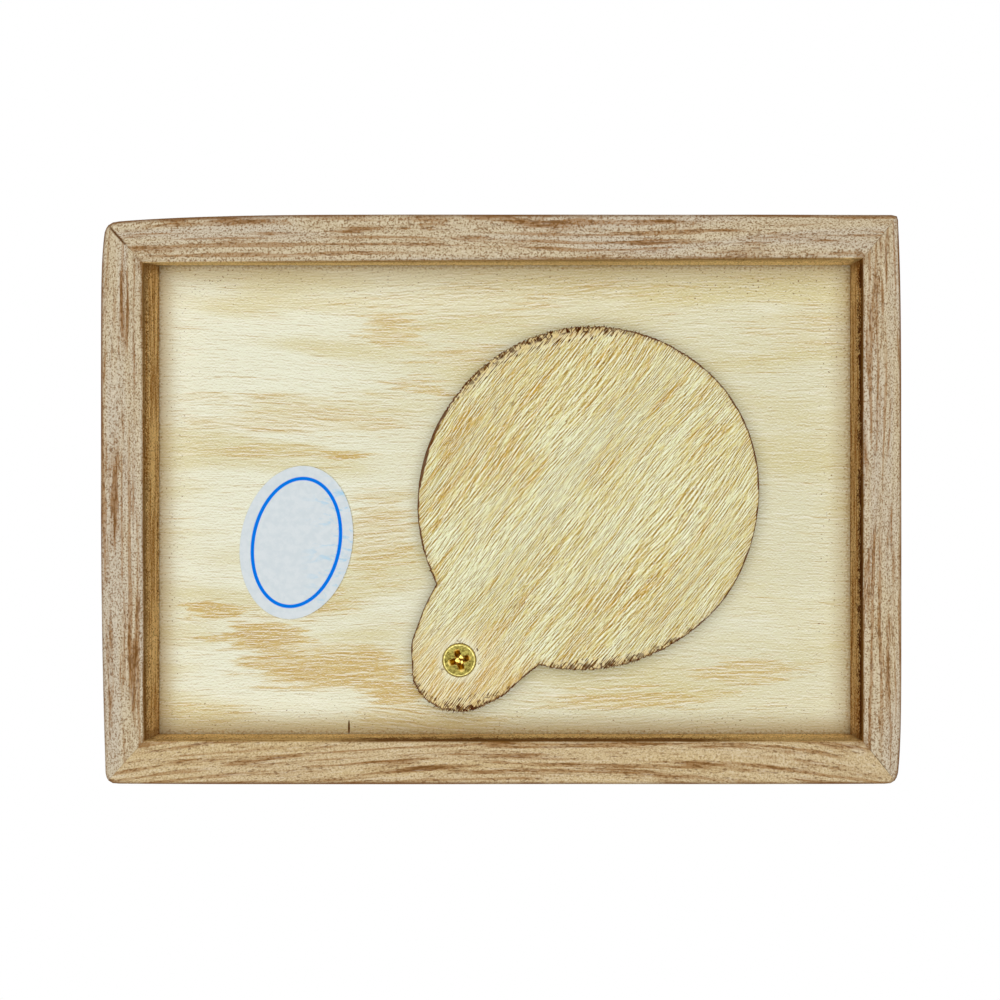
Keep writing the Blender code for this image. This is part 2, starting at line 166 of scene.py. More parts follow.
# Screw
HEAD_RADIUS = 0.00325
HEAD_LAND = 0.0004
THREAD_RADIUS = 0.0016
THREAD_DEPTH = 0.0005
THREAD_PITCH = 0.0013
THREAD_TAPER = 0.0022
POINT_RADIUS = 0.0001
SCREW_CLEARANCE = 0.00012
SCREW_COLUMNS = 96
CROSS_ANGLE = math.radians(-15)
CROSS_REACH = 0.0023
CROSS_WIDTH = 0.0012
CROSS_DEPTH = 0.0015

# Label
LABEL_HALF_SIZE_MM = (15.2, 11.0)
LABEL_RING_MM = ((13.07, 8.86), (12.36, 8.15))  # outer and inner half sizes of the printed ring
LABEL_ANGLE = math.radians(-79.2)
LABEL_COLUMNS = 120


# Mesh helpers


def skin(rings):
    """Vertices and faces of a closed solid over rings of equally many points."""
    count = len(rings[0])
    vertices = [point for ring in rings for point in ring]
    faces = []
    for low in range(0, len(vertices) - count, count):
        high = low + count
        for index in range(count):
            following = (index + 1) % count
            faces.append((low + index, low + following, high + following, high + index))
    faces.append(tuple(reversed(range(count))))
    faces.append(tuple(range(len(vertices) - count, len(vertices))))
    return vertices, faces


def angles_round(columns):
    return [math.tau * column / columns for column in range(columns)]


def round_point(centre, radius, angle, axis=2):
    """A point on a circle that lies across an axis."""
    spot = Vector(centre)
    spot[(axis + 1) % 3] += radius * math.cos(angle)
    spot[(axis + 2) % 3] += radius * math.sin(angle)
    return spot


def add_object(name, vertices, faces):
    mesh = bpy.data.meshes.new(name)
    mesh.from_pydata([tuple(point) for point in vertices], [], faces)
    bm = bmesh.new()
    bm.from_mesh(mesh)
    bmesh.ops.recalc_face_normals(bm, faces=bm.faces)
    bm.to_mesh(mesh)
    bm.free()
    item = bpy.data.objects.new(name, mesh)
    bpy.context.scene.collection.objects.link(item)
    return item


def cut(item, *cutters):
    """Cuts the cutters out of an object's mesh for good."""
    for cutter in cutters:
        modifier = item.modifiers.new(cutter.name, "BOOLEAN")
        modifier.object = cutter
        modifier.operation = "DIFFERENCE"
        modifier.solver = "EXACT"
    graph = bpy.context.evaluated_depsgraph_get()
    mesh = bpy.data.meshes.new_from_object(item.evaluated_get(graph))
    item.modifiers.clear()
    item.data = mesh


def places_of(mesh):
    places = np.zeros(len(mesh.vertices) * 3)
    mesh.vertices.foreach_get("co", places)
    return places.reshape(-1, 3)


def set_places(mesh, places):
    mesh.vertices.foreach_set("co", places.ravel())
    mesh.update()


def store(mesh, name, kind, values):
    """Keeps an amount or a point with each vertex, for the finish to read."""
    attribute = mesh.attributes.new(name, kind, "POINT")
    field = "vector" if kind == "FLOAT_VECTOR" else "value"
    attribute.data.foreach_set(field, np.asarray(values, np.float32).ravel())


def finish_piece(item, material, body, node, smooth_angle=30):
    item.data.materials.clear()
    item.data.materials.append(material)
    item.data.shade_smooth()
    item.data.set_sharp_from_angle(angle=math.radians(smooth_angle))
    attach(item, body)
    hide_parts(node)


# Shader helpers


def tint(tone):
    """A tone given as it looks on screen, from 0 to 255, as a shader takes it."""
    linear = []
    for value in tone:
        share = value / 255
        linear.append(share / 12.92 if share <= 0.04045 else ((share + 0.055) / 1.055) ** 2.4)
    return (*linear, 1.0)


def fill(tree, socket, value):
    """Links a value into a socket, or sets the socket to a plain tone, number or point."""
    if isinstance(value, Value):
        tree.links.new(value.socket, socket)
    elif socket.type == "RGBA":
        socket.default_value = tint(value)
    else:
        socket.default_value = value


def add_node(tree, kind, inputs, **settings):
    node = tree.nodes.new(kind)
    for setting, value in settings.items():
        setattr(node, setting, value)
    for socket, value in inputs.items():
        fill(tree, node.inputs[socket], value)
    return node


class Value:
    """A number, point or colour in a node tree. What is worked out from it adds nodes there."""

    def __init__(self, tree, socket):
        self.tree = tree
        self.socket = socket

    def via(self, kind, inputs, output=0, **settings):
        """The output of a new node in the same tree."""
        return Value(self.tree, add_node(self.tree, kind, inputs, **settings).outputs[output])

    def math(self, operation, *values):
        return self.via("ShaderNodeMath", dict(enumerate(values)), operation=operation)

    def __add__(self, other):
        return self.math("ADD", self, other)

    def __sub__(self, other):
        return self.math("SUBTRACT", self, other)

    def __rsub__(self, other):
        return self.math("SUBTRACT", other, self)

    def __mul__(self, other):
        return self.math("MULTIPLY", self, other)

    def __truediv__(self, other):
        return self.math("DIVIDE", self, other)

    def __abs__(self):
        return self.math("ABSOLUTE", self)

    def larger(self, other):
        return self.math("MAXIMUM", self, other)

    def smaller(self, other):
        return self.math("MINIMUM", self, other)

    def between(self, low, high, start=0.0, end=1.0):
        """Goes smoothly from start to end as this goes from low to high. Low may be the larger."""
        inputs = {"Value": self, "From Min": low, "From Max": high, "To Min": start, "To Max": end}
        return self.via("ShaderNodeMapRange", inputs, interpolation_type="SMOOTHSTEP")

    def stretch(self, x, y, z):
        return self.via("ShaderNodeVectorMath", {0: self, 1: (x, y, z)}, operation="MULTIPLY")

    def scaled(self, size):
        return self.stretch(size, size, size)

    def shift(self, x, y, z=0):
        return self.via("ShaderNodeVectorMath", {0: self, 1: (x, y, z)}, operation="ADD")

    def length(self):
        return self.via("ShaderNodeVectorMath", {0: self}, "Value", operation="LENGTH")

    def split(self):
        node = add_node(self.tree, "ShaderNodeSeparateXYZ", {0: self})
        return [Value(self.tree, socket) for socket in node.outputs]

    def noise(self, detail=2.0, roughness=0.5, distortion=0.0):
        inputs = {"Vector": self, "Scale": 1.0, "Detail": detail, "Roughness": roughness}
        return self.via("ShaderNodeTexNoise", {**inputs, "Distortion": distortion})

    def ridge_light_and_shade(self):
        """Ridges: how much a noise changes over a small step across the grain. Painted as colour, it gives
        each ridge a darker and a paler side, which is painted light and shade.
        """
        return self.shift(0, 0.5).noise(1.0, 0.6) - self.noise(1.0, 0.6)

    def patch(self, centre, half_size, soft=0.4):
        """1 inside a soft oval, and 0 outside it."""
        offset = self.shift(-centre[0], -centre[1])
        share = offset.stretch(1 / half_size[0], 1 / half_size[1], 0)
        return share.length().between(1 + soft, 1 - soft)

    def patches(self, table):
        """The strongest of several soft ovals, each with its middle, half size and strength."""
        total = 0.0
        for x, y, half_x, half_y, strength in table:
            total = (self.patch((x, y), (half_x, half_y)) * strength).larger(total)
        return total

    def paint(self, *layers):
        """This colour under layers. Each has its tone, and then its share, or the value that
        brings it on, the low and high it goes between, and the share that it ends with."""
        colour = self
        for tone, share, *rise in layers:
            if rise:
                low, high, strength = rise
                share = share.between(low, high, 0.0, strength)
            colour = mix(share, colour, tone)
        return colour


def mix(share, first, second):
    """The first colour, with a share of the second over it."""
    known = share if isinstance(share, Value) else first
    return known.via("ShaderNodeMix", {0: share, 6: first, 7: second}, 2, data_type="RGBA")


def point(x, y, z=0.0):
    """The point with these three coordinates."""
    return x.via("ShaderNodeCombineXYZ", {0: x, 1: y, 2: z})


class Finish:
    """A material in the making: where its values come from, and how it ends."""

    SHEEN = 0.02  # how glossy bare wood and paper are, 0.5 being usual for lacquer

    def __init__(self, name, metallic=0.0):
        self.material = bpy.data.materials.new(name)
        self.material.use_nodes = True
        self.tree = self.material.node_tree
        self.surface = self.tree.nodes["Principled BSDF"].inputs
        self.surface["Specular IOR Level"].default_value = self.SHEEN
        self.surface["Metallic"].default_value = metallic

    def source(self, kind, output, **settings):
        return Value(self.tree, add_node(self.tree, kind, {}, **settings).outputs[output])

    def stored(self, name, output="Fac"):
        return self.source("ShaderNodeAttribute", output, attribute_name=name)

    def own_place(self):
        """The point on the object."""
        return self.source("ShaderNodeTexCoord", "Object").scaled(1000)

    def plain_place(self):
        """The point on a board before its corners and edges were worn."""
        return self.stored("plain_place", "Vector").scaled(1000)

    def done(self, colour, roughness, height, depth_mm, strength):
        """The material, with its bumps as deep and as strong as given."""
        inputs = {"Height": height, "Distance": depth_mm / 1000, "Strength": strength}
        normal = height.via("ShaderNodeBump", inputs)
        for socket, value in (("Base Color", colour), ("Roughness", roughness), ("Normal", normal)):
            fill(self.tree, self.surface[socket], value)
        return self.material


# Torched wood


# Brown streaks of the rim: middle along and across the board, half size along and across, strength
RIM_STREAKS = {
    "front": (
        (-55.3, -53.2, 11.0, 0.8, 0.9),
        (0.8, -53.6, 9.0, 0.7, 0.9),
        (-65.8, -48.7, 7.0, 0.8, 0.7),
        (-11.6, -52.1, 6.0, 0.7, 0.7),
        (-29.0, -51.6, 5.0, 0.6, 0.5),
        (13.0, -50.8, 9.0, 0.6, 0.5),
        (31.2, -52.3, 5.5, 0.9, 0.8),
        (26.4, -49.3, 9.0, 0.6, 0.6),
        (51.0, -50.4, 14.0, 1.9, 0.5),
    ),
    "back": (
        (4.5, 50.4, 62.0, 1.9, 0.50),
        (-47.7, 47.2, 10.0, 1.6, 0.45),
        (66.3, 47.8, 4.0, 1.0, 0.6),
        (30.0, 46.6, 14.0, 0.6, 0.4),
    ),
    "left": (
        (-38.0, -71.9, 12.0, 1.0, 0.8),
        (-2.0, -73.8, 13.0, 0.9, 0.7),
        (29.0, -70.5, 14.0, 0.9, 0.7),
        (33.0, -74.6, 8.0, 0.7, 0.5),
        (-10.0, -70.4, 12.0, 0.6, 0.5),
    ),
    "right": (
        (2.0, 71.2, 11.0, 1.3, 0.7),
        (30.5, 73.9, 12.0, 0.9, 0.6),
        (22.0, 69.7, 14.0, 0.7, 0.6),
        (-21.0, 74.5, 6.0, 0.6, 0.5),
        (-44.0, 72.0, 8.0, 1.0, 0.6),
        (-32.0, 69.3, 10.0, 0.6, 0.5),
    ),
}
RING_SPACING = 1.5
# How far the grain bows over half a board, the middle of the bow, and its half length
RIM_BOW = {"front": 0.0, "back": 3.6, "left": 0.0, "right": 0.6}
BOW_MIDDLE = 4.5
BOW_REACH = 60.0
# How yellow each board's wood is, and how dark its pores are
RIM_WARMTH = {"front": 0.15, "back": 0.70, "left": 0.12, "right": 0.2, "upper": 0.3}
RIM_PORES = {"front": 0.82, "back": 0.50, "left": 0.76, "right": 0.80, "upper": 0.80}
# Each inner wall's tone, and its share: partly the wood's own tone and partly painted light and shade,
# which makes the front wall lighter and the right wall darker
WALL_TONE_LIGHT_AND_SHADE = {
    "front": ((255, 222, 156), 0.75),
    "back": ((246, 204, 132), 0.50),
    "left": ((196, 146, 84), 0.35),
    "right": ((150, 90, 24), 0.42),
}
# Burnt line of each inner wall: strength, tone, the stretch where it is strongest, and its reach
WALL_CHAR = {
    "front": (0.50, (128, 78, 14), (-45, 60), 3.6),
    "back": (0.90, (92, 48, 0), (-26, 38), 4.0),
    "left": (0.60, (92, 52, 8), (-50, 50), 2.3),
    "right": (1.0, (72, 32, 0), (-50, 50), 2.6),
}
SCORCH_TONE = (128, 88, 50)
MITRE_CRACK = ((-73.6, -51.7), (2.6, 2.6), 0.3)  # the open stretch of one mitre
SIDE_GRAIN_STEP = 170  # keeps one board's grain apart from the next one's
TOP_GRAIN_SHIFT = 940


def brushed_grain(along, across, z, bow, grain_shift, placed, side):
    """Pale wood with brown streaks and pores: its colour, streak level, pores and fine lines."""
    bend = point(along, across, z).stretch(0.012, 0.12, 0.12).noise(1.0).between(0.0, 1.0, -1.6, 1.6)
    bent = across + bend - bow
    grain = point(along, bent, z + bend).shift(grain_shift, 0)
    broad = grain.stretch(0.022, 0.22, 0.22).noise()
    streaks = grain.stretch(0.060, 0.80, 0.80).noise(3.0, 0.6)
    lines = grain.stretch(0.16, 2.0, 2.0).noise(2.0, 0.6)
    pores = grain.stretch(2.7, 3.3, 3.3).noise(1.0, 0.6)
    dashes = grain.stretch(0.95, 2.9, 2.9).noise(1.0, 0.6)
    presence = grain.stretch(0.028, 0.28, 0.28).shift(50, 0).noise()
    level = streaks + placed * 0.17
    phase = (bent + z * 0.8 + streaks * 1.5) * (math.tau / RING_SPACING)
    stripe = phase.math("SINE", phase).between(0.0, 0.8) * presence.between(0.44, 0.58)
    in_streak = dashes + level * 0.60 + stripe * 0.10
    pale = mix(broad.between(0.40, 0.60), (200, 190, 172), (204, 190, 161))
    colour = pale.paint(
        ((210, 183, 130), RIM_WARMTH[side]),
        ((134, 99, 62), pores, 0.49, 0.66, RIM_PORES[side]),
        ((240, 230, 210), pores, 0.45, 0.30, 0.30),
        ((154, 110, 60), stripe, 0.0, 1.0, 0.60),
        ((152, 110, 63), level, 0.53, 0.72, 0.80),
        ((108, 70, 30), level, 0.66, 0.82, 0.75),
        ((146, 104, 58), lines, 0.56, 0.72, 0.30),
        ((232, 219, 194), lines, 0.44, 0.30, 0.30),
        ((104, 67, 27), in_streak, 0.92, 1.05, 0.62),
    )
    return colour, level, pores, lines


def unevenness(level):
    """How well the torch's marks took: better on the dark streaks."""
    return level.between(0.36, 0.60, 0.35, 1.0)


def scorch(from_border):
    return from_border.between(3.2, 0.2, 0.0, 0.75)


def brushed_done(finish, colour, pores, lines):
    """The end that the finishes of all boards have in common."""
    return finish.done(colour, pores.between(0.3, 0.7, 0.62, 0.9), lines * 0.5 + pores * -0.4, 0.25, 0.7)


def beyond_walls(x, y):
    """How far a point lies past the inner walls along X, along Y, and in all."""
    beyond_x = abs(x) - INNER_HALF_LENGTH * 1000
    beyond_y = abs(y) - INNER_HALF_WIDTH * 1000
    return beyond_x, beyond_y, beyond_x.larger(beyond_y)


def wall_wood(grain, z, side, pores, fray, burnt_stretch):
    """The brown inner wall of a side board, burnt near the rim, with painted shade at its foot and painted
    light and shade that differ by side.
    """
    streaks = grain.noise(3.0, 0.7)
    # foot: the pores, made darker towards the panel as painted shade at the wall's foot
    foot = z.between(5.4, 7.0, 0.0, 0.20) + pores
    ragged_z = z + streaks.between(0.3, 0.7, -0.9, 0.9) + pores.between(0.65, 0.35, -0.8, 0.8)
    ragged_z = ragged_z + fray.between(0.35, 0.65, -0.5, 0.5)
    strength, burnt_tone, _, reach = WALL_CHAR[side]
    return mix(streaks.between(0.40, 0.62), (244, 210, 146), (150, 102, 46)).paint(
        # Each side's tone, partly painted light and shade
        WALL_TONE_LIGHT_AND_SHADE[side],
        ((74, 42, 10), pores, 0.54, 0.68, 0.60),
        ((250, 224, 166), pores, 0.44, 0.32, 0.40),
        # Painted shade at the wall's foot, over the dark pores
        ((72, 40, 10), foot, 0.62, 0.72, 0.40),
        (burnt_tone, ragged_z.between(reach, reach / 2, 0.0, strength) * burnt_stretch),
    )


def side_board_wood(side, lengthwise, grain_shift):
    """Torched and brushed wood with burnt edges, brown inner walls and mitred corners."""
    finish = Finish(f"{side}_board_wood")
    place = finish.plain_place()
    x, y, z = place.split()
    along, across = (x, y) if lengthwise == "X" else (y, x)
    bow_share = (along - BOW_MIDDLE) / BOW_REACH
    bow = bow_share * bow_share * RIM_BOW[side]
    fray = place.scaled(0.45).noise(2.0, 0.6)
    ragged_along = along + fray.between(0.2, 0.8, -3.0, 3.0)
    near_rim = z.between(2.5, 0.4)
    placed = point(ragged_along, across - bow).patches(RIM_STREAKS[side]) * near_rim
    colour, level, pores, lines = brushed_grain(along, across, z, bow, grain_shift, placed, side)
    uneven = unevenness(level)

    beyond_x, beyond_y, from_inside = beyond_walls(x, y)
    strength, _, (start, end), _ = WALL_CHAR[side]
    entering = ragged_along.between(start - 9, start + 3, 0.35, 1.0)
    leaving = ragged_along.between(end + 9, end - 3, 0.35, 1.0)
    burnt_stretch = entering * leaving
    wall_grain = point(along, across + bow, z).stretch(0.06, 1.2, 1.2).shift(grain_shift, 0)
    wall = wall_wood(wall_grain, z, side, pores, fray, burnt_stretch)
    rim_line = abs(from_inside - 0.10).between(0.50, 0.04, 0.0, 0.3 + 0.6 * strength)
    mitre = abs(beyond_x - beyond_y)
    from_corner = abs(beyond_x).larger(abs(beyond_y)) + fray.between(0.3, 0.7, -0.8, 0.8)
    outer_edge = from_inside.between(7.30, 7.85, 0.0, 0.80)
    half_along = (HALF_LENGTH if lengthwise == "X" else HALF_WIDTH) * 1000
    from_border = (half_along - abs(along)).smaller((SIDE_TOP * 1000 - z).smaller(z))
    colour = colour.paint(
        (wall, from_inside, 0.30, 0.06, 1.0),
        ((104, 68, 22), rim_line * uneven * z.between(1.1, 0.3) * burnt_stretch),
        ((112, 80, 50), mitre, 0.26, 0.05, 0.10),
        ((126, 84, 34), from_corner, 1.9, 0.3, 0.50),
        ((96, 58, 12), mitre.between(0.50, 0.12, 0.0, 0.9) * point(x, y).patch(*MITRE_CRACK)),
        ((96, 66, 40), outer_edge * near_rim * uneven),
        (SCORCH_TONE, scorch(from_border) * uneven * from_inside.between(7.2, 7.9)),
    )
    return brushed_done(finish, colour, pores, lines)


def top_board_wood():
    """The same wood for the top, scorched round its outline and round the coin slot."""
    finish = Finish("upper_board_wood")
    x, y, z = finish.plain_place().split()
    colour, level, pores, lines = brushed_grain(x, y, z, 0.0, TOP_GRAIN_SHIFT, 0.0, "upper")
    from_outline = (HALF_LENGTH * 1000 - abs(x)).smaller(HALF_WIDTH * 1000 - abs(y))
    past_straight = (abs(x) - (SLOT_LENGTH - SLOT_WIDTH) * 500).larger(0.0)
    from_slot = point(past_straight, y).length()
    slot_edge = SLOT_WIDTH * 500
    colour = colour.paint(
        (SCORCH_TONE, scorch(from_outline) * unevenness(level)),
        ((92, 58, 28), from_slot, slot_edge + 1.6, slot_edge + 0.2, 0.85),
    )
    return brushed_done(finish, colour, pores, lines)


# Plywood


# Patches of the bottom panel: middle, half size and strength
PANEL_TAN = (
    (-21.3, -33.5, 6.0, 3.6, 0.60),
    (-15.5, -22.4, 7.0, 1.6, 0.60),
    (-8.0, -28.2, 9.0, 2.2, 0.45),
    (-44.0, -19.7, 24.0, 1.2, 0.40),
    (-40.0, -15.5, 24.0, 3.4, 0.46),
    (-50.0, -9.6, 19.0, 1.6, 0.42),
    (-32.2, -8.8, 7.0, 1.1, 0.95),
    (-24.5, 7.0, 7.5, 10.0, 0.50),
    (-57.0, 21.8, 6.0, 1.9, 0.90),
    (-47.5, 27.0, 9.0, 3.6, 0.95),
    (-34.0, 33.5, 16.0, 4.4, 0.92),
    (-22.0, 37.5, 9.0, 2.2, 0.85),
    (-38.0, 20.0, 9.0, 3.6, 0.50),
    (58.5, -33.5, 10.0, 5.0, 0.35),
    (26.0, 38.9, 19.0, 1.8, 0.60),
    (47.5, 33.5, 12.0, 2.3, 0.60),
    (-59.0, 41.9, 12.0, 1.8, 0.40),
    (8.0, -41.0, 30.0, 2.4, 0.35),
    (-11.0, -38.0, 28.0, 4.0, 0.30),
    (-14.0, 43.2, 17.0, 3.0, 0.50),
)
PANEL_PALE = ((54.0, 22.5, 15.0, 6.0, 0.5),)
# Soft ovals as middle, half size and softness
PANEL_DUST = ((50.0, -36.0), (20.0, 10.0), 0.7)
PANEL_TICK = ((-30.4, 44.8), (0.20, 1.35), 0.25)  # a dark splinter
SPECK_LIMIT = 0.80  # lower gives more specks
WHITE_FIBRE = (252, 251, 238)


def panel_plywood():
    """Smooth pale veneer with fine lengthwise grain, tan cathedral patches and dark specks, and painted
    shade along the walls.
    """
    finish = Finish("panel_plywood")
    place = finish.own_place()
    x, y, z = place.split()
    wobble = place.stretch(0.016, 0.05, 0.1).noise(0.0)
    grain = point(x, y + wobble.between(0.2, 0.8, -1.6, 1.6), z)
    ragged = place.stretch(0.12, 1.1, 0.9).noise(3.0, 0.65).between(0.2, 0.8, -6.5, 6.5)
    frayed = place.stretch(0.05, 0.5, 0.9).noise(3.0, 0.65).between(0.2, 0.8, -1.6, 1.6)
    patch_place = point(x + ragged, y + frayed)
    fibres = grain.stretch(0.070, 1.5, 1.0).noise(3.0, 0.65)
    hairs = grain.stretch(0.26, 2.6, 1.0).ridge_light_and_shade()
    felt = place.stretch(2.0, 3.0, 1.0).ridge_light_and_shade()
    cloud = grain.stretch(0.024, 0.14, 0.1).noise()
    dots = place.stretch(2.0, 2.4, 1.0).noise(1.0)

    tan = patch_place.patches(PANEL_TAN)
    level = fibres + tan * 0.27
    streaky = level.between(0.45, 0.70, 0.22, 0.60)
    to_wall = beyond_walls(x, y)[2]
    crowd = to_wall.between(-14.0, -1.0, 0.0, 0.122) + place.patch(*PANEL_DUST) * 0.035
    speck = (dots - (SPECK_LIMIT - crowd)).between(0.0, 0.03, 0.0, 0.8)
    border = to_wall + dots.between(0.35, 0.65, -0.5, 0.5)
    left_wall = -INNER_HALF_LENGTH * 1000
    back_wall = INNER_HALF_WIDTH * 1000
    low = PANEL_BOTTOM * 1000
    high = PANEL_TOP * 1000
    middle_ply = abs(z - (low + high) / 2).between(0.55, 0.45)
    on_edge = z.between(low + 0.02, low + 0.08) * z.between(high - 0.02, high - 0.08)
    ends = place.stretch(3.0, 3.0, 5.0).noise()
    edge_colour = mix(middle_ply, (222, 206, 160), (176, 142, 92)).paint(
        ((120, 90, 56), ends, 0.5, 0.7, 0.5),
    )
    colour = mix(x.between(-45.0, 5.0), (233, 233, 208), (221, 217, 183)).paint(
        ((210, 197, 138), cloud, 0.44, 0.66, 0.60),
        ((232, 231, 204), patch_place.patches(PANEL_PALE)),
        ((208, 181, 104), tan, 0.10, 0.95, 0.72),
        ((200, 166, 90), level, 0.56, 0.80, 0.60),
        ((184, 138, 62), level, 0.74, 0.92, 0.40),
        ((246, 245, 228), fibres, 0.44, 0.30, 0.45),
        # The paler and darker sides of the hairs and felt are painted light and shade over the fibres' own
        # tones
        ((176, 144, 84), hairs.between(0.03, 0.22) * streaky),
        (WHITE_FIBRE, hairs.between(-0.03, -0.22) * streaky),
        ((170, 148, 94), felt, 0.04, 0.26, 0.30),
        (WHITE_FIBRE, felt, -0.04, -0.26, 0.50),
        ((110, 68, 18), speck),
        # Painted shade: darker towards the walls, and more so along the left and back walls
        ((202, 180, 134), to_wall, -5.0, -0.3, 0.38),
        ((176, 150, 104), x, left_wall + 4.0, left_wall, 0.38),
        ((176, 150, 104), y, back_wall - 4.5, back_wall, 0.38),
        ((152, 106, 38), border, -1.1, 0.1, 0.44),
        ((92, 56, 20), point(x, y).patch(*PANEL_TICK)),
        (edge_colour, on_edge),
    )
    return finish.done(colour, fibres.between(0.3, 0.7, 0.55, 0.75), hairs + felt, 0.10, 0.5)


# Zones of the cover: middle, half size along and across its grain, and strength
COVER_TAN = (
    (-7.8, -12.5, 9.0, 3.0, 1.0),
    (-9.7, -1.8, 7.0, 2.6, 0.9),
    (0.0, -15.4, 17.0, 7.0, 0.55),
    (6.9, -20.8, 4.0, 1.6, 0.8),
    (21.3, -27.0, 5.0, 1.4, 0.8),
    (31.5, -19.3, 6.0, 1.0, 1.0),
    (40.6, -13.5, 5.0, 3.2, 0.7),
    (22.8, 17.5, 9.0, 1.3, 1.0),
    (28.6, 20.4, 7.0, 4.0, 0.6),
    (15.5, 28.1, 6.0, 3.0, 0.7),
    (0.6, 23.3, 7.5, 1.8, 0.75),
    (-1.4, 37.8, 4.0, 4.5, 0.6),
    (17.0, -29.0, 4.0, 12.0, 0.65),
    (5.4, -5.7, 6.0, 2.5, 0.45),
    (-8.5, 38.5, 4.5, 8.0, 0.45),
)
COVER_PALE = (
    (-6.2, 14.6, 12.0, 3.2, 0.9),
    (11.2, -3.8, 16.0, 3.5, 0.6),
    (-12.0, 8.8, 5.0, 2.4, 0.9),
    (34.4, -9.6, 9.0, 3.0, 0.6),
    (26.0, 2.0, 12.0, 6.0, 0.4),
    (9.3, -13.5, 5.0, 1.5, 0.7),
    (-8.0, 23.0, 6.0, 4.0, 0.5),
)
TOASTED_TAB = ((-8.5, 36.0), (14.0, 11.0))
BURNT_DISC_EDGE = ((-13.0, -10.0), (5.0, 9.0), 0.6)


def turned_zones(zones):
    """The zones with their middles turned into (along, across) the cover's grain."""
    turn = Matrix.Rotation(-GRAIN_ANGLE, 2)
    return [(*(turn @ Vector((x, y))), *rest) for x, y, *rest in zones]


def burnt_edge(finish, colour, place, grain, fibres):
    """Burns the cover's edge: the colour, and the distance from the burnt line."""
    edge = finish.stored("edge_distance")
    torn = finish.stored("torn")
    strokes = grain.stretch(0.70, 3.8, 0.6).noise(0.0)
    reach = (torn - edge / TORN_REACH_MM).larger(0.0)
    in_reach = reach.between(0.02, 0.20)
    crossing = strokes + edge.between(1.3, 0.2) * torn * 0.19 + fibres * 1.6
    barbs = point(finish.stored("edge_way") * 1.9, edge * 0.7).noise(1.0, 0.6)
    barb_end = (edge + barbs).between(1.80, 1.35) * torn
    strays = place.scaled(0.5).noise().between(0.35, 0.65, 0.0, 0.22)
    line = edge - strays - place.patch(*BURNT_DISC_EDGE) * 0.30
    colour = colour.paint(
        ((190, 132, 70), reach, 0.0, 0.8, 0.42),
        ((72, 28, 0), crossing.between(0.60, 0.72, 0.0, 0.95) * in_reach),
        ((242, 230, 180), strokes.between(0.46, 0.40, 0.0, 0.8) * in_reach),
        ((194, 152, 74), edge, 2.0, 0.2, 0.25),
        ((62, 22, 0), barbs.between(0.50, 0.55, 0.0, 0.96) * barb_end),
        ((238, 214, 150), barbs.between(0.46, 0.39, 0.0, 0.6) * barb_end),
        ((84, 34, 0), line.between(0.28, 0.06) * torn.between(0.2, 1.0, 0.9, 0.55)),
    )
    return colour, line


def cover_plywood():
    """Coarse sawn veneer with slanting grain, and an edge burnt and torn by the saw. The sides of its
    ridges are painted lighter and darker, as painted light and shade.
    """
    finish = Finish("cover_plywood")
    place = finish.own_place()
    turn = {"Vector": place, "Axis": (0, 0, 1), "Angle": -GRAIN_ANGLE}
    turned = place.via("ShaderNodeVectorRotate", turn, rotation_type="AXIS_ANGLE")
    along, across, z = turned.split()
    wobble = turned.stretch(0.02, 0.06, 0.1).noise(1.0)
    grain = point(along, across + wobble.between(0.2, 0.8, -1.5, 1.5), z)
    ragged = grain.stretch(0.14, 1.2, 0.5).noise(2.0, 0.6).between(0.2, 0.8, -7.0, 7.0)
    zone_place = point(along + ragged, across)
    bands = grain.stretch(0.085, 0.75, 0.3).noise(3.0, 0.6)
    fibres = grain.stretch(0.28, 3.7, 0.5).ridge_light_and_shade()
    strands = grain.stretch(0.32, 2.2, 0.5).ridge_light_and_shade()
    ticks = grain.stretch(0.60, 3.4, 1.0).noise(1.0, 0.6)
    felt = grain.stretch(2.0, 3.2, 1.0).ridge_light_and_shade()

    darker = zone_place.patches(turned_zones(COVER_TAN)) - zone_place.patches(turned_zones(COVER_PALE))
    level = bands + darker * 0.16
    colour = mix(level.between(0.34, 0.54), (236, 237, 192), (224, 213, 147)).paint(
        ((206, 166, 70), level, 0.50, 0.74, 0.92),
        # The paler and darker sides of the fibres, strands and felt are painted light and shade over the
        # wood's own tones
        ((158, 124, 44), fibres, 0.02, 0.15, 0.90),
        ((255, 255, 228), fibres, -0.02, -0.16, 0.88),
        ((158, 122, 44), strands, 0.08, 0.30, 0.50),
        ((252, 250, 216), strands, -0.08, -0.30, 0.35),
        ((122, 82, 24), ticks + darker * 0.05, 0.69, 0.78, 0.70),
        ((166, 134, 66), felt, 0.04, 0.24, 0.50),
        ((250, 248, 226), felt, -0.04, -0.24, 0.50),
        ((240, 202, 148), place.patch(*TOASTED_TAB) * 0.22),
    )
    colour, line = burnt_edge(finish, colour, place, grain, fibres)
    from_screw = place.shift(-PIVOT.x * 1000, -PIVOT.y * 1000, -COVER_BOTTOM * 1000).length()
    rubbed = from_screw.between(4.9, 3.6, 0.0, 0.5) * line.between(0.3, 0.6)
    colour = colour.paint(((240, 236, 206), rubbed))
    height = fibres + strands * 0.6 + felt * 0.5
    return finish.done(colour, bands.between(0.3, 0.7, 0.6, 0.85), height, 0.20, 0.8)


# Metal and paper


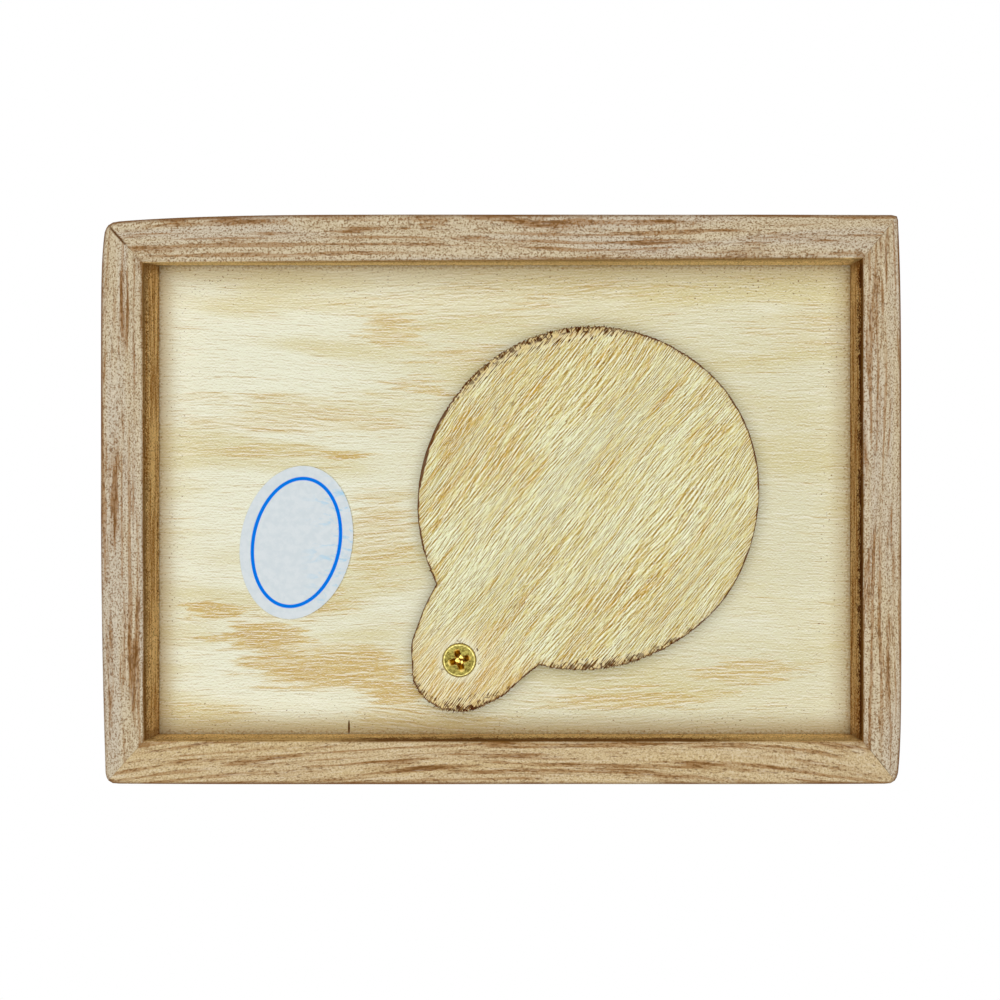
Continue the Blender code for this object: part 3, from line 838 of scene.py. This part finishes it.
def brass():
    """Plated steel: a dull stamped face and a polished recess, with painted highlights on the rim, on the
    recess's edge and on its floor.
    """
    finish = Finish("screw_brass", metallic=1.0)
    place = finish.own_place()
    height = place.split()[2]
    radius = place.stretch(1, 1, 0).shift(-PIVOT.x * 1000, -PIVOT.y * 1000).length()
    cloth = place.scaled(2.6).noise(3.0, 0.7)
    spots = place.scaled(1.6).noise(1.0)
    scratches = place.scaled(7.0).noise()
    # A painted highlight in a ring where the face meets the rounded rim
    painted_rim_highlight = abs(radius - 2.94).between(0.12, 0.03) * cloth.between(0.30, 0.55, 1.0, 0.45)
    face = SCREW_FACE * 1000
    in_cross = radius.between(2.6, 2.5)
    # A painted highlight along the upper edge of the cross recess
    painted_lip_highlight = height.between(face + 0.005, face + 0.03, 0.0, 0.9) * in_cross
    deep = height.between(face + 0.2, face + 0.5) * in_cross
    # The recess's floor: painted highlights with dark spots between them
    floor = mix(spots.between(0.40, 0.56), (220, 194, 104), (70, 44, 8))
    colour = mix(cloth.between(0.35, 0.65), (138, 128, 66), (70, 60, 18)).paint(
        ((226, 214, 136), painted_rim_highlight),
        ((170, 150, 76), radius, 3.04, 3.10, 1.0),
        ((255, 236, 150), painted_lip_highlight),
        ((160, 120, 18), deep),
        (floor, height, face + 1.2, face + 1.45, 1.0),
    )
    return finish.done(colour, deep.between(0.0, 1.0, 0.42, 0.30), scratches, 0.03, 0.5)


def label_paper():
    """Matt off-white paper with a plain printed ring, and its middle bare."""
    finish = Finish("label_paper")
    flat_place = point(finish.stored("label_along"), finish.stored("label_across"))
    outer, inner = (flat_place.patch((0, 0), half_size, 0.008) for half_size in LABEL_RING_MM)
    place = finish.own_place()
    mottle = place.scaled(0.6).noise(3.0, 0.6)
    smear = place.stretch(0.28, 0.7, 0.5).noise(3.0, 0.65, 0.6)
    on_right = place.split()[0].between(-41.0, -31.0)
    colour = mix(mottle.between(0.35, 0.65), (217, 224, 227), (209, 218, 222)).paint(
        ((160, 206, 232), smear.between(0.51, 0.66, 0.0, 0.8) * on_right),
        ((0, 118, 228), outer - inner),
    )
    return finish.done(colour, mottle.between(0.3, 0.7, 0.35, 0.5), mottle, 0.05, 0.3)


def brad_steel():
    finish = Finish("brad_steel", metallic=1.0)
    cloth = finish.own_place().scaled(4.0).noise(3.0, 0.7)
    colour = mix(cloth.between(0.35, 0.65), (150, 148, 146), (104, 96, 88))
    return finish.done(colour, cloth.between(0.3, 0.7, 0.35, 0.6), cloth, 0.03, 0.6)


# Boards


def brad_nodes():
    return sorted(name for name in frame["nodes"] if "_brad_" in name)


def make_brad_holes():
    """One cutter for all brads: a pocket for each head and a bore for each shank."""
    vertices = []
    faces = []
    for name in brad_nodes():
        low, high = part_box(name)
        size = high - low
        middle = (low + high) / 2
        axis = 2 if name.startswith("top") else 0
        inward = -1 if middle[axis] > 0 else 1
        surface = (BOX_HEIGHT if axis == 2 else HALF_LENGTH) * -inward
        head_radius = min(size) / 2
        rings = []
        for depth, radius in (
            (-0.002, head_radius * BRAD_POCKET_SHARE),
            (BRAD_POCKET_DEPTH, head_radius * BRAD_POCKET_SHARE),
            (BRAD_POCKET_DEPTH, head_radius * BRAD_BORE_SHARE),
            (size[axis] + 0.001, head_radius * BRAD_BORE_SHARE),
        ):
            middle[axis] = surface + inward * depth
            rings.append([round_point(middle, radius, angle, axis) for angle in angles_round(BRAD_COLUMNS)])
        new_vertices, new_faces = skin(rings)
        faces += [tuple(index + len(vertices) for index in face) for face in new_faces]
        vertices += new_vertices
    return add_object("brad_holes", vertices, faces)


def quarter_arc(radius, steps):
    """Setback and height along a rounded edge, from its side face to its end face."""
    arc = []
    for step in range(steps + 1):
        angle = math.radians(90) * step / steps
        arc.append((radius * (1 - math.cos(angle)), radius * (1 - math.sin(angle))))
    return arc


def board_profile():
    """A side board's section as (depth from its outer face, height), round from its top."""
    inner_start = SIDE_THICKNESS - INNER_EDGE_RADIUS
    groove_low = PANEL_BOTTOM - GROOVE_GAP
    groove_high = PANEL_TOP + GROOVE_GAP
    groove = SIDE_THICKNESS - GROOVE_DEPTH
    profile = [(0.0, height) for height in np.linspace(SIDE_TOP, 0.004, 26)]
    profile += quarter_arc(EDGE_RADIUS, 7)
    profile += [(depth, 0.0) for depth in np.linspace(EDGE_RADIUS, inner_start, 13)[1:-1]]
    inner_arc = reversed(quarter_arc(INNER_EDGE_RADIUS, 4))
    profile += [(SIDE_THICKNESS - setback, height) for setback, height in inner_arc]
    profile += [(SIDE_THICKNESS, height) for height in np.linspace(INNER_EDGE_RADIUS, groove_low, 8)[1:]]
    profile += [(groove, groove_low), (groove, groove_high), (SIDE_THICKNESS, groove_high)]
    profile += [(SIDE_THICKNESS, height) for height in np.linspace(groove_high, SIDE_TOP, 8)[1:]]
    return profile


def round_corners(places):
    """Rounds the four upright corners of plain boards in plan."""
    rounded = places.copy()
    for signs, radius in CORNER_RADII.items():
        outward = places[:, :2] * np.array(signs)
        beyond = outward - (np.array((HALF_LENGTH, HALF_WIDTH)) - radius)
        in_corner = (beyond > 0).all(1)
        offset = beyond[in_corner]
        factor = offset.max(1) / np.hypot(offset[:, 0], offset[:, 1])
        pulled = outward[in_corner] - offset + offset * factor[:, None]
        rounded[in_corner, :2] = pulled * np.array(signs)
    return rounded


def rim_wear(places):
    """Wears the outer faces back towards their ends near the rim, and shifts the inner faces."""
    worn = places.copy()
    halves = (HALF_LENGTH, HALF_WIDTH)
    inners = (INNER_HALF_LENGTH, INNER_HALF_WIDTH)
    near_rim = np.exp(-places[:, 2] / WEAR_HEIGHT)
    rise = np.clip(places[:, 2] / PANEL_BOTTOM, 0, 1)
    fading = np.exp(-np.clip(places[:, 2] - PANEL_TOP, 0, None) / SHIFT_FADE_ABOVE)
    for side, axis, sign in (("left", 0, -1), ("right", 0, 1), ("front", 1, -1), ("back", 1, 1)):
        depth = (np.abs(places[:, axis]) - inners[axis]) / (halves[axis] - inners[axis])
        along = places[:, 1 - axis] / halves[1 - axis]
        on_side = places[:, axis] * sign > 0
        (start, start_power), (end, end_power) = RIM_WEAR[side]
        inset = start * np.clip(-along, 0, 1) ** start_power
        inset += end * np.clip(along, 0, 1) ** end_power
        worn[:, axis] -= sign * inset * np.clip(depth, 0, 1) * near_rim * on_side
        at_start, at_end, at_panel = INNER_SHIFT[side]
        at_rim = at_start + (at_end - at_start) * (along + 1) / 2
        shift = at_rim + (at_panel - at_rim) * rise
        inside = np.clip(np.where(depth > 0, 1 - depth, 1 + depth / SHIFT_FADE), 0, 1)
        worn[:, axis] -= sign * shift * inside * fading * on_side
    return worn


def from_mitres(places):
    """How far each point lies from the nearest mitre plane."""
    beyond = np.abs(places[:, :2]) - np.array((INNER_HALF_LENGTH, INNER_HALF_WIDTH))
    return np.abs(beyond[:, 0] - beyond[:, 1])


def roughen(mesh, amounts, stretch, shift):
    """Sinks the surface a little by noise drawn out along the grain."""
    places = places_of(mesh)
    normals = np.array([vertex.normal for vertex in mesh.vertices])
    depths = []
    for place, amount in zip(places, amounts):
        spot = Vector(place * np.array(stretch) * 1000)
        fine = noise.noise(spot + Vector((shift, 0, 0)))
        coarse = noise.noise(spot * 0.35 + Vector((0, shift, 0)))
        depths.append(amount * (0.5 + 0.3 * fine + 0.5 * coarse))
    set_places(mesh, places - normals * np.clip(depths, 0, None)[:, None])


def make_side_boards(brad_holes):
    layout = (
        ("front", HALF_LENGTH, HALF_WIDTH, 0, "X"),
        ("right", HALF_WIDTH, HALF_LENGTH, 90, "Y"),
        ("back", HALF_LENGTH, HALF_WIDTH, 180, "X"),
        ("left", HALF_WIDTH, HALF_LENGTH, 270, "Y"),
    )
    profile = board_profile()
    for index, (side, half_along, half_across, degrees, lengthwise) in enumerate(layout):
        turn = Matrix.Rotation(math.radians(degrees), 3, "Z")
        rings = []
        for column in range(BOARD_COLUMNS + 1):
            share = 2 * column / BOARD_COLUMNS - 1
            ring = []
            for depth, height in profile:
                along = share * (half_along - depth - MITRE_GAP)
                ring.append(turn @ Vector((along, depth - half_across, height)))
            rings.append(ring)
        board = add_object(f"{side}_board", *skin(rings))
        cut(board, brad_holes)
        plain = places_of(board.data)
        store(board.data, "plain_place", "FLOAT_VECTOR", plain)
        set_places(board.data, rim_wear(round_corners(plain)))
        fine, coarse, _ = ROUGHNESS_STRETCH
        stretch = ROUGHNESS_STRETCH if lengthwise == "X" else (coarse, fine, coarse)
        amounts = ROUGHNESS_DEPTH * np.clip(from_mitres(plain) / MITRE_CALM, 0, 1)
        roughen(board.data, amounts, stretch, SIDE_ROUGHNESS_STEP * index)
        material = side_board_wood(side, lengthwise, SIDE_GRAIN_STEP * index)
        finish_piece(board, material, "box", f"side_board_{side}")


def slot_outline(spread):
    """A slot along X with half-round ends."""
    radius = SLOT_WIDTH / 2 + spread
    centre = SLOT_LENGTH / 2 + spread - radius
    points = []
    for step in range(SLOT_COLUMNS):
        angle = math.tau * (step + 0.5) / SLOT_COLUMNS
        side = centre if math.cos(angle) > 0 else -centre
        points.append((side + radius * math.cos(angle), radius * math.sin(angle)))
    return points


def make_slot_cutter():
    """The slot's cutter, with a rounded edge at the upper face of the top board."""
    steps = [(BOX_HEIGHT + 0.001, SLOT_CHAMFER)]
    steps += [(BOX_HEIGHT - depth, spread) for spread, depth in reversed(quarter_arc(SLOT_CHAMFER, 5))]
    steps.append((SIDE_TOP - 0.001, 0.0))
    rings = [[(x, y, height) for x, y in slot_outline(spread)] for height, spread in steps]
    return add_object("slot_cutter", *skin(rings))


def board_outline(inset):
    """The top board in plan with square corners, as points that crowd towards them."""
    half_x = HALF_LENGTH - inset
    half_y = HALF_WIDTH - inset
    corners = [(half_x, -half_y), (half_x, half_y), (-half_x, half_y), (-half_x, -half_y)]
    points = []
    for start, end in zip(corners, corners[1:] + corners[:1]):
        count = 90 if start[1] == end[1] else 64
        for share in 0.5 - 0.5 * np.cos(np.linspace(0, math.pi, count, endpoint=False)):
            points.append(Vector(start).lerp(Vector(end), share))
    return points


def make_top_board(brad_holes):
    """A board with rounded edges, a coin slot and six nailed places."""
    levels = [(TOP_EDGE_RADIUS, SIDE_TOP + TOP_GAP), (0.0, SIDE_TOP + TOP_GAP + TOP_EDGE_RADIUS)]
    levels += [(0.0, height) for height in np.linspace(SIDE_TOP + 0.002, BOX_HEIGHT - 0.002, 5)]
    levels += [(inset, BOX_HEIGHT - depth) for inset, depth in quarter_arc(TOP_EDGE_RADIUS, 6)]
    levels += [(inset, BOX_HEIGHT) for inset in (0.002, 0.004, 0.008, 0.012)]
    rings = [[(x, y, height) for x, y in board_outline(inset)] for inset, height in levels]
    board = add_object("upper_board", *skin(rings))
    slot_cutter = make_slot_cutter()
    cut(board, slot_cutter, brad_holes)
    bpy.data.objects.remove(slot_cutter)
    plain = places_of(board.data)
    store(board.data, "plain_place", "FLOAT_VECTOR", plain)
    set_places(board.data, round_corners(plain))
    roughen(board.data, np.full(len(plain), ROUGHNESS_DEPTH), ROUGHNESS_STRETCH, TOP_ROUGHNESS_SHIFT)
    finish_piece(board, top_board_wood(), "box", "top_board")


# Cover


def cover_edge():
    """The cover's outline in plan from its CAD node, as evenly spaced points round it."""
    places = places_of(frame["nodes"]["swivel_cover"].data)
    low = places[np.abs(places[:, 2] - COVER_BOTTOM) < 1e-6][:, :2]
    outer = low[np.hypot(low[:, 0] - PIVOT.x, low[:, 1] - PIVOT.y) > 2 * HEAD_RADIUS]
    outer = np.unique(np.round(outer, 7), axis=0)
    from_middle = outer - outer.mean(0)
    outer = outer[np.argsort(np.arctan2(from_middle[:, 1], from_middle[:, 0]))]
    closed = np.vstack((outer, outer[:1]))
    steps = np.hypot(*np.diff(closed, axis=0).T)
    ways = np.concatenate(([0], np.cumsum(steps)))
    even = np.linspace(0, ways[-1], COVER_POINTS, endpoint=False)
    outline = np.column_stack([np.interp(even, ways, closed[:, axis]) for axis in (0, 1)])
    wander = smoothed(amounts_round(outline, TAB_WANDER, DISC_WANDER), 3)
    return outline - inward_normals(outline) * wander[:, None]


def amounts_round(outline, tab_table, disc_table):
    """Adds up bell-shaped amounts placed by direction from the pivot and from the disc's middle."""
    from_pivot = outline - np.array(PIVOT.xy)
    from_disc = outline - np.array(HOLE_CENTRE)
    on_tab = np.hypot(*from_pivot.T) < TAB_REACH
    total = np.zeros(len(outline))
    for away, table, here in ((from_pivot, tab_table, on_tab), (from_disc, disc_table, ~on_tab)):
        degrees = np.degrees(np.arctan2(away[:, 1], away[:, 0]))
        for direction, width, amount in table:
            gap = (degrees - direction + 180) % 360 - 180
            total += here * amount * np.exp(-((gap / width) ** 2))
    return total


def smoothed(values, reach):
    """A running mean round a closed row of values."""
    total = sum(np.roll(values, shift, axis=0) for shift in range(-reach, reach + 1))
    return total / (2 * reach + 1)


def inward_normals(outline):
    tangents = smoothed(np.roll(outline, -1, axis=0) - np.roll(outline, 1, axis=0), 6)
    tangents /= np.hypot(*tangents.T)[:, None]
    return np.column_stack((-tangents[:, 1], tangents[:, 0]))


def notches(torn, level):
    """How deep the saw tore the edge at each point, in metres, at one level of its thickness."""
    depths = []
    for index, share in enumerate(torn):
        way = index * 0.55
        fine = noise.noise(Vector((way, level * 0.7, 1.7)))
        finer = noise.noise(Vector((way * 2.3, level * 1.1, 8.1)))
        slow = noise.noise(Vector((way * 0.12, 0.0, 4.2)))
        tear = max(0.0, fine * 0.7 + finer * 0.5 + 0.15)
        depths.append(0.00005 * (1 + slow) + share * TORN_DEPTH * tear)
    return np.array(depths)


def screw_ring(radius, height):
    """Points round the screw's axis."""
    centre = (PIVOT.x, PIVOT.y, height)
    return [round_point(centre, radius, angle) for angle in angles_round(SCREW_COLUMNS)]


def make_countersink():
    head = HEAD_RADIUS + SCREW_CLEARANCE
    shank = THREAD_RADIUS + SCREW_CLEARANCE
    land = SCREW_FACE + HEAD_LAND
    return add_object("countersink", *skin([
        screw_ring(head, COVER_BOTTOM - 0.002),
        screw_ring(head, land),
        screw_ring(shank, land + HEAD_RADIUS - THREAD_RADIUS),
        screw_ring(shank, COVER_TOP + 0.002),
    ]))


def add_splinters(item, splinters):
    """Adds thin four-sided spikes: foot, tip and half width of each."""
    bm = bmesh.new()
    bm.from_mesh(item.data)
    for foot, tip, half_width in splinters:
        heading = (tip - foot).normalized()
        side = heading.cross(Vector((0, 0, 1))).normalized() * half_width
        rise = Vector((0, 0, half_width))
        base = [bm.verts.new(foot + offset) for offset in (side, rise, -side, -rise)]
        top = bm.verts.new(tip)
        bm.faces.new(reversed(base))
        for index in range(4):
            bm.faces.new((base[index], base[(index + 1) % 4], top))
    bm.to_mesh(item.data)
    bm.free()


def edge_splinters(outline, inward, torn):
    """Torn fibres along the parts of the edge that cross the grain."""
    random = np.random.default_rng(SPLINTER_SEED)
    grain = Vector((math.cos(GRAIN_ANGLE), math.sin(GRAIN_ANGLE), 0))
    splinters = []
    for index in range(0, COVER_POINTS, 2):
        if random.random() > torn[index]:
            continue
        height = COVER_BOTTOM + random.uniform(0.0001, 0.0006)
        inner = Vector((*inward[index], 0))
        foot = Vector((*outline[index], height)) + inner * 0.0003
        outward = grain if grain.dot(inner) < 0 else -grain
        bend = Vector((random.uniform(-0.7, 0.7), random.uniform(-0.7, 0.7), random.uniform(-0.35, 0.1)))
        tip = foot + (outward + bend).normalized() * random.uniform(0.0003, 0.0008)
        tip.z = max(tip.z, COVER_BOTTOM - 0.00015)
        splinters.append((foot, tip, random.uniform(0.00008, 0.00016)))
    return splinters


def screw_burrs():
    """Crumbs of torn wood round the screw, each a few short fibres."""
    random = np.random.default_rng(BURR_SEED)
    fibres = []
    for degrees, radius in SCREW_BURRS:
        for _ in range(BURR_FIBRES):
            angle = math.radians(degrees + random.uniform(-11, 11))
            reach = radius + random.uniform(-0.00025, 0.00025)
            foot = round_point((PIVOT.x, PIVOT.y, COVER_BOTTOM), reach, angle)
            tip = foot + Vector((random.uniform(-0.0005, 0.0005), random.uniform(-0.0005, 0.0005), -0.0001))
            fibres.append((foot, tip, random.uniform(0.00004, 0.00009)))
    return fibres


def store_edge(mesh, board_points, outline, torn_edge, torn):
    """Keeps with each point its distance from the torn edge, how torn that is, and where round it."""
    places = places_of(mesh)
    nearest = []
    distances = []
    for some in np.array_split(places[:, None, :2], len(places) // 2000 + 1):
        away = some - torn_edge[None]
        gaps = np.hypot(away[..., 0], away[..., 1])
        nearest.append(gaps.argmin(1))
        distances.append(gaps.min(1))
    nearest = np.concatenate(nearest)
    distances = np.concatenate(distances)
    on_side = (places[:, 2] > COVER_BOTTOM + 0.0003) & (distances < 0.0009)
    distances[on_side] = 0.0
    distances[board_points:] = 0.0
    spacing_mm = np.hypot(*np.diff(outline, axis=0).T).mean() * 1000
    store(mesh, "edge_distance", "FLOAT", distances * 1000)
    store(mesh, "torn", "FLOAT", torn[nearest])
    store(mesh, "edge_way", "FLOAT", nearest * spacing_mm)


def make_cover():
    """The plywood cover, with an edge that the saw tore and a countersunk hole for the screw."""
    outline = cover_edge()
    inward = inward_normals(outline)
    torn = smoothed(np.clip(amounts_round(outline, TAB_TORN, DISC_TORN), 0, 1), 12)
    thickness = COVER_TOP - COVER_BOTTOM
    levels = [(inset, 0.0) for inset in (TORN_REACH_MM / 1000, 0.0020, 0.0012, 0.0007, 0.0003)]
    levels += [(0.00012, 0.00002), (0.00002, 0.00012)]
    levels += [(0.0, rise) for rise in (0.0004, 0.0009, 0.0018, thickness - 0.0002)]
    levels += [(0.0002, thickness), (TORN_REACH_MM / 1000, thickness)]
    rings = []
    for inset, rise in levels:
        tear = notches(torn, rise * 1000) * max(0.0, 1 - inset / 0.0015)
        flat = outline + inward * (inset + tear)[:, None]
        rings.append([(x, y, COVER_BOTTOM + rise) for x, y in flat])
    cover = add_object("cover_board", *skin(rings))
    countersink = make_countersink()
    cut(cover, countersink)
    bpy.data.objects.remove(countersink)
    board_points = len(cover.data.vertices)
    add_splinters(cover, edge_splinters(outline, inward, torn) + screw_burrs())
    torn_edge = outline + inward * notches(torn, 0.0)[:, None]
    store_edge(cover.data, board_points, outline, torn_edge, torn)
    finish_piece(cover, cover_plywood(), "cover", "swivel_cover")


# Screw


def thread_radius(height, angle, start, end):
    run_in = min(1.0, (height - start) / THREAD_PITCH)
    groove = THREAD_RADIUS - THREAD_DEPTH * run_in
    phase = ((height - start) / THREAD_PITCH - angle / math.tau) % 1.0
    ridge = max(0.0, 1 - 4 * abs(phase - 0.5))
    taper = min(1.0, (end - height) / THREAD_TAPER)
    return POINT_RADIUS + (groove + (THREAD_RADIUS - groove) * ridge - POINT_RADIUS) * taper


def make_cross_recess():
    """A four-armed recess that narrows as it deepens."""
    rings = []
    for depth, reach, width in (
        (-0.0010, CROSS_REACH, CROSS_WIDTH),
        (0.0, CROSS_REACH, CROSS_WIDTH),
        (0.0003, CROSS_REACH * 0.86, CROSS_WIDTH * 0.88),
        (CROSS_DEPTH, CROSS_REACH * 0.42, CROSS_WIDTH * 0.6),
    ):
        half = width / 2
        ring = []
        for quarter in range(4):
            turn = Matrix.Rotation(math.radians(90) * quarter + CROSS_ANGLE, 2)
            ring.append(turn @ Vector((half * 1.15, half * 1.15)))
            for step in range(5):
                angle = math.radians(180) * step / 4
                tip = Vector((half * math.cos(angle), reach - half * 0.6 + half * 0.6 * math.sin(angle)))
                ring.append(turn @ tip)
        rings.append([(x, y, SCREW_FACE + depth) for x, y in ring])
    cutter = add_object("cross_recess", *skin(rings))
    cutter.location = (PIVOT.x, PIVOT.y, 0)
    return cutter


def make_screw():
    """A countersunk screw with a rounded rim, a cross recess and a cut thread."""
    cone_end = SCREW_FACE + HEAD_LAND + HEAD_RADIUS - THREAD_RADIUS
    rings = [
        screw_ring(HEAD_RADIUS - 0.00030, SCREW_FACE),
        screw_ring(HEAD_RADIUS - 0.00016, SCREW_FACE + 0.00004),
        screw_ring(HEAD_RADIUS - 0.00005, SCREW_FACE + 0.00012),
        screw_ring(HEAD_RADIUS, SCREW_FACE + 0.00022),
        screw_ring(HEAD_RADIUS, SCREW_FACE + HEAD_LAND),
        screw_ring(THREAD_RADIUS, cone_end),
    ]
    for height in np.linspace(cone_end, SCREW_POINT, 60)[1:]:
        ring = []
        for angle in angles_round(SCREW_COLUMNS):
            radius = thread_radius(height, angle, cone_end, SCREW_POINT)
            ring.append(round_point((PIVOT.x, PIVOT.y, height), radius, angle))
        rings.append(ring)
    screw = add_object("brass_screw", *skin(rings))
    recess = make_cross_recess()
    cut(screw, recess)
    bpy.data.objects.remove(recess)
    finish_piece(screw, brass(), "box", "pivot_screw", smooth_angle=35)


# Label


def make_label():
    """A thin oval of paper whose edge curls away from the panel."""
    low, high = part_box("oval_label")
    centre = (low + high) / 2
    turn = Matrix.Rotation(LABEL_ANGLE, 2)
    half_along, half_across = LABEL_HALF_SIZE_MM
    rings = []
    flats = []
    for share, height in (
        (0.02, LABEL_BOTTOM),
        (0.5, LABEL_BOTTOM),
        (0.8, LABEL_BOTTOM),
        (0.9, LABEL_BOTTOM - 0.00001),
        (0.96, LABEL_BOTTOM - 0.00004),
        (1.0, LABEL_BOTTOM - 0.00009),
        (1.0, LABEL_BOTTOM - 0.00002),
        (0.9, LABEL_TOP),
        (0.02, LABEL_TOP),
    ):
        ring = []
        for angle in angles_round(LABEL_COLUMNS):
            flat = Vector((half_along * share * math.cos(angle), half_across * share * math.sin(angle)))
            flats.append(flat)
            place = turn @ flat / 1000
            ring.append((centre.x + place.x, centre.y + place.y, height))
        rings.append(ring)
    label = add_object("paper_label", *skin(rings))
    store(label.data, "label_along", "FLOAT", [flat.x for flat in flats])
    store(label.data, "label_across", "FLOAT", [flat.y for flat in flats])
    finish_piece(label, label_paper(), "box", "oval_label", smooth_angle=60)


# Stage


def seen_share(size, distance):
    """The part of full light that a lamp of unit brightness gives from straight ahead."""
    half_x = size[0] / 2 / distance
    half_y = size[1] / 2 / distance
    reach_x = math.sqrt(1 + half_x**2)
    reach_y = math.sqrt(1 + half_y**2)
    first = half_x / reach_x * math.atan(half_y / reach_x)
    second = half_y / reach_y * math.atan(half_x / reach_y)
    return 2 * (first + second) / math.pi


def lamp(name, size, place, target, distance, share):
    """A lamp that faces a target, and gives a share of full light from straight ahead at a distance."""
    data = bpy.data.lights.new(name, "AREA")
    data.shape = "RECTANGLE"
    data.size, data.size_y = size
    data.energy = share * math.pi * size[0] * size[1] / seen_share(size, distance)
    item = bpy.data.objects.new(name, data)
    item.location = place
    item.rotation_euler = (Vector(target) - Vector(place)).to_track_quat("-Z", "Y").to_euler()
    bpy.context.scene.collection.objects.link(item)


def make_lamps():
    x, y, z = LOW_LAMP_PLACE
    lamp("low_lamp", LOW_LAMP_SIZE, LOW_LAMP_PLACE, (x, y, 0), -z, LOW_LAMP_SHARE)
    for name, place, share in HIGH_LAMPS:
        lamp(name, HIGH_LAMP_SIZE, place, (0, 0, BOX_HEIGHT / 2), Vector(place).length, share)


def make_world():
    """White where the camera or a shiny or clear surface sees it, and dim as a light from all round."""
    world = bpy.data.worlds.new("studio")
    bpy.context.scene.world = world
    world.use_nodes = True
    tree = world.node_tree
    rays = add_node(tree, "ShaderNodeLightPath", {}).outputs
    seen = Value(tree, rays["Is Camera Ray"])
    for kind in ("Glossy", "Transmission"):
        seen = seen.larger(Value(tree, rays[f"Is {kind} Ray"]))
    background = tree.nodes["Background"].inputs
    fill(tree, background["Color"], (255, 255, 255))
    fill(tree, background["Strength"], seen.between(0.0, 1.0, DOME_SHARE, 1.0))


def floor_paint():
    """Pale and shadowed near the object, white further out, and clear from below."""
    material = bpy.data.materials.new("floor_paint")
    material.use_nodes = True
    tree = material.node_tree
    tree.nodes.clear()
    surface = add_node(tree, "ShaderNodeNewGeometry", {}).outputs
    far = Value(tree, surface["Position"]).length().between(0.10, 0.45)
    behind = Value(tree, surface["Backfacing"])
    matt = far.via("ShaderNodeBsdfDiffuse", {})
    matt.socket.node.inputs["Color"].default_value = FLOOR_SHADE
    white = far.via("ShaderNodeEmission", {})
    clear = far.via("ShaderNodeBsdfTransparent", {})
    in_front = far.via("ShaderNodeMixShader", {0: far, 1: matt, 2: white})
    both = far.via("ShaderNodeMixShader", {0: behind, 1: in_front, 2: clear})
    add_node(tree, "ShaderNodeOutputMaterial", {"Surface": both})
    return material


def make_floor():
    half = FLOOR_HALF_SIZE
    corners = [(-half, -half, 0), (half, -half, 0), (half, half, 0), (-half, half, 0)]
    floor = add_object("studio_floor", corners, [(0, 1, 2, 3)])
    if floor.data.polygons[0].normal.z < 0:
        floor.data.flip_normals()
    floor.data.materials.append(floor_paint())
    floor.visible_diffuse = False
    floor.visible_glossy = False
    floor.visible_transmission = False
    floor.visible_shadow = False


def make_camera():
    data = bpy.data.cameras.new("photo_camera")
    data.lens = CAMERA_LENS
    data.sensor_width = 36
    data.shift_x, data.shift_y = CAMERA_SHIFT
    data.clip_start = 0.01
    camera = bpy.data.objects.new("photo_camera", data)
    camera.location = CAMERA_PLACE
    camera.rotation_euler = (math.pi, 0, 0)
    bpy.context.scene.collection.objects.link(camera)
    bpy.context.scene.camera = camera


def dress_nodes():
    """Gives the CAD nodes whose shapes are right their materials."""
    finishes = dict.fromkeys(brad_nodes(), brad_steel())
    finishes["bottom_panel"] = panel_plywood()
    for name, material in finishes.items():
        frame["nodes"][name].data.materials.clear()
        frame["nodes"][name].data.materials.append(material)


def main():
    make_camera()
    make_world()
    make_lamps()
    make_floor()
    bpy.context.scene.view_settings.view_transform = "Standard"
    brad_holes = make_brad_holes()
    make_side_boards(brad_holes)
    make_top_board(brad_holes)
    bpy.data.objects.remove(brad_holes)
    make_cover()
    make_screw()
    make_label()
    dress_nodes()


main()
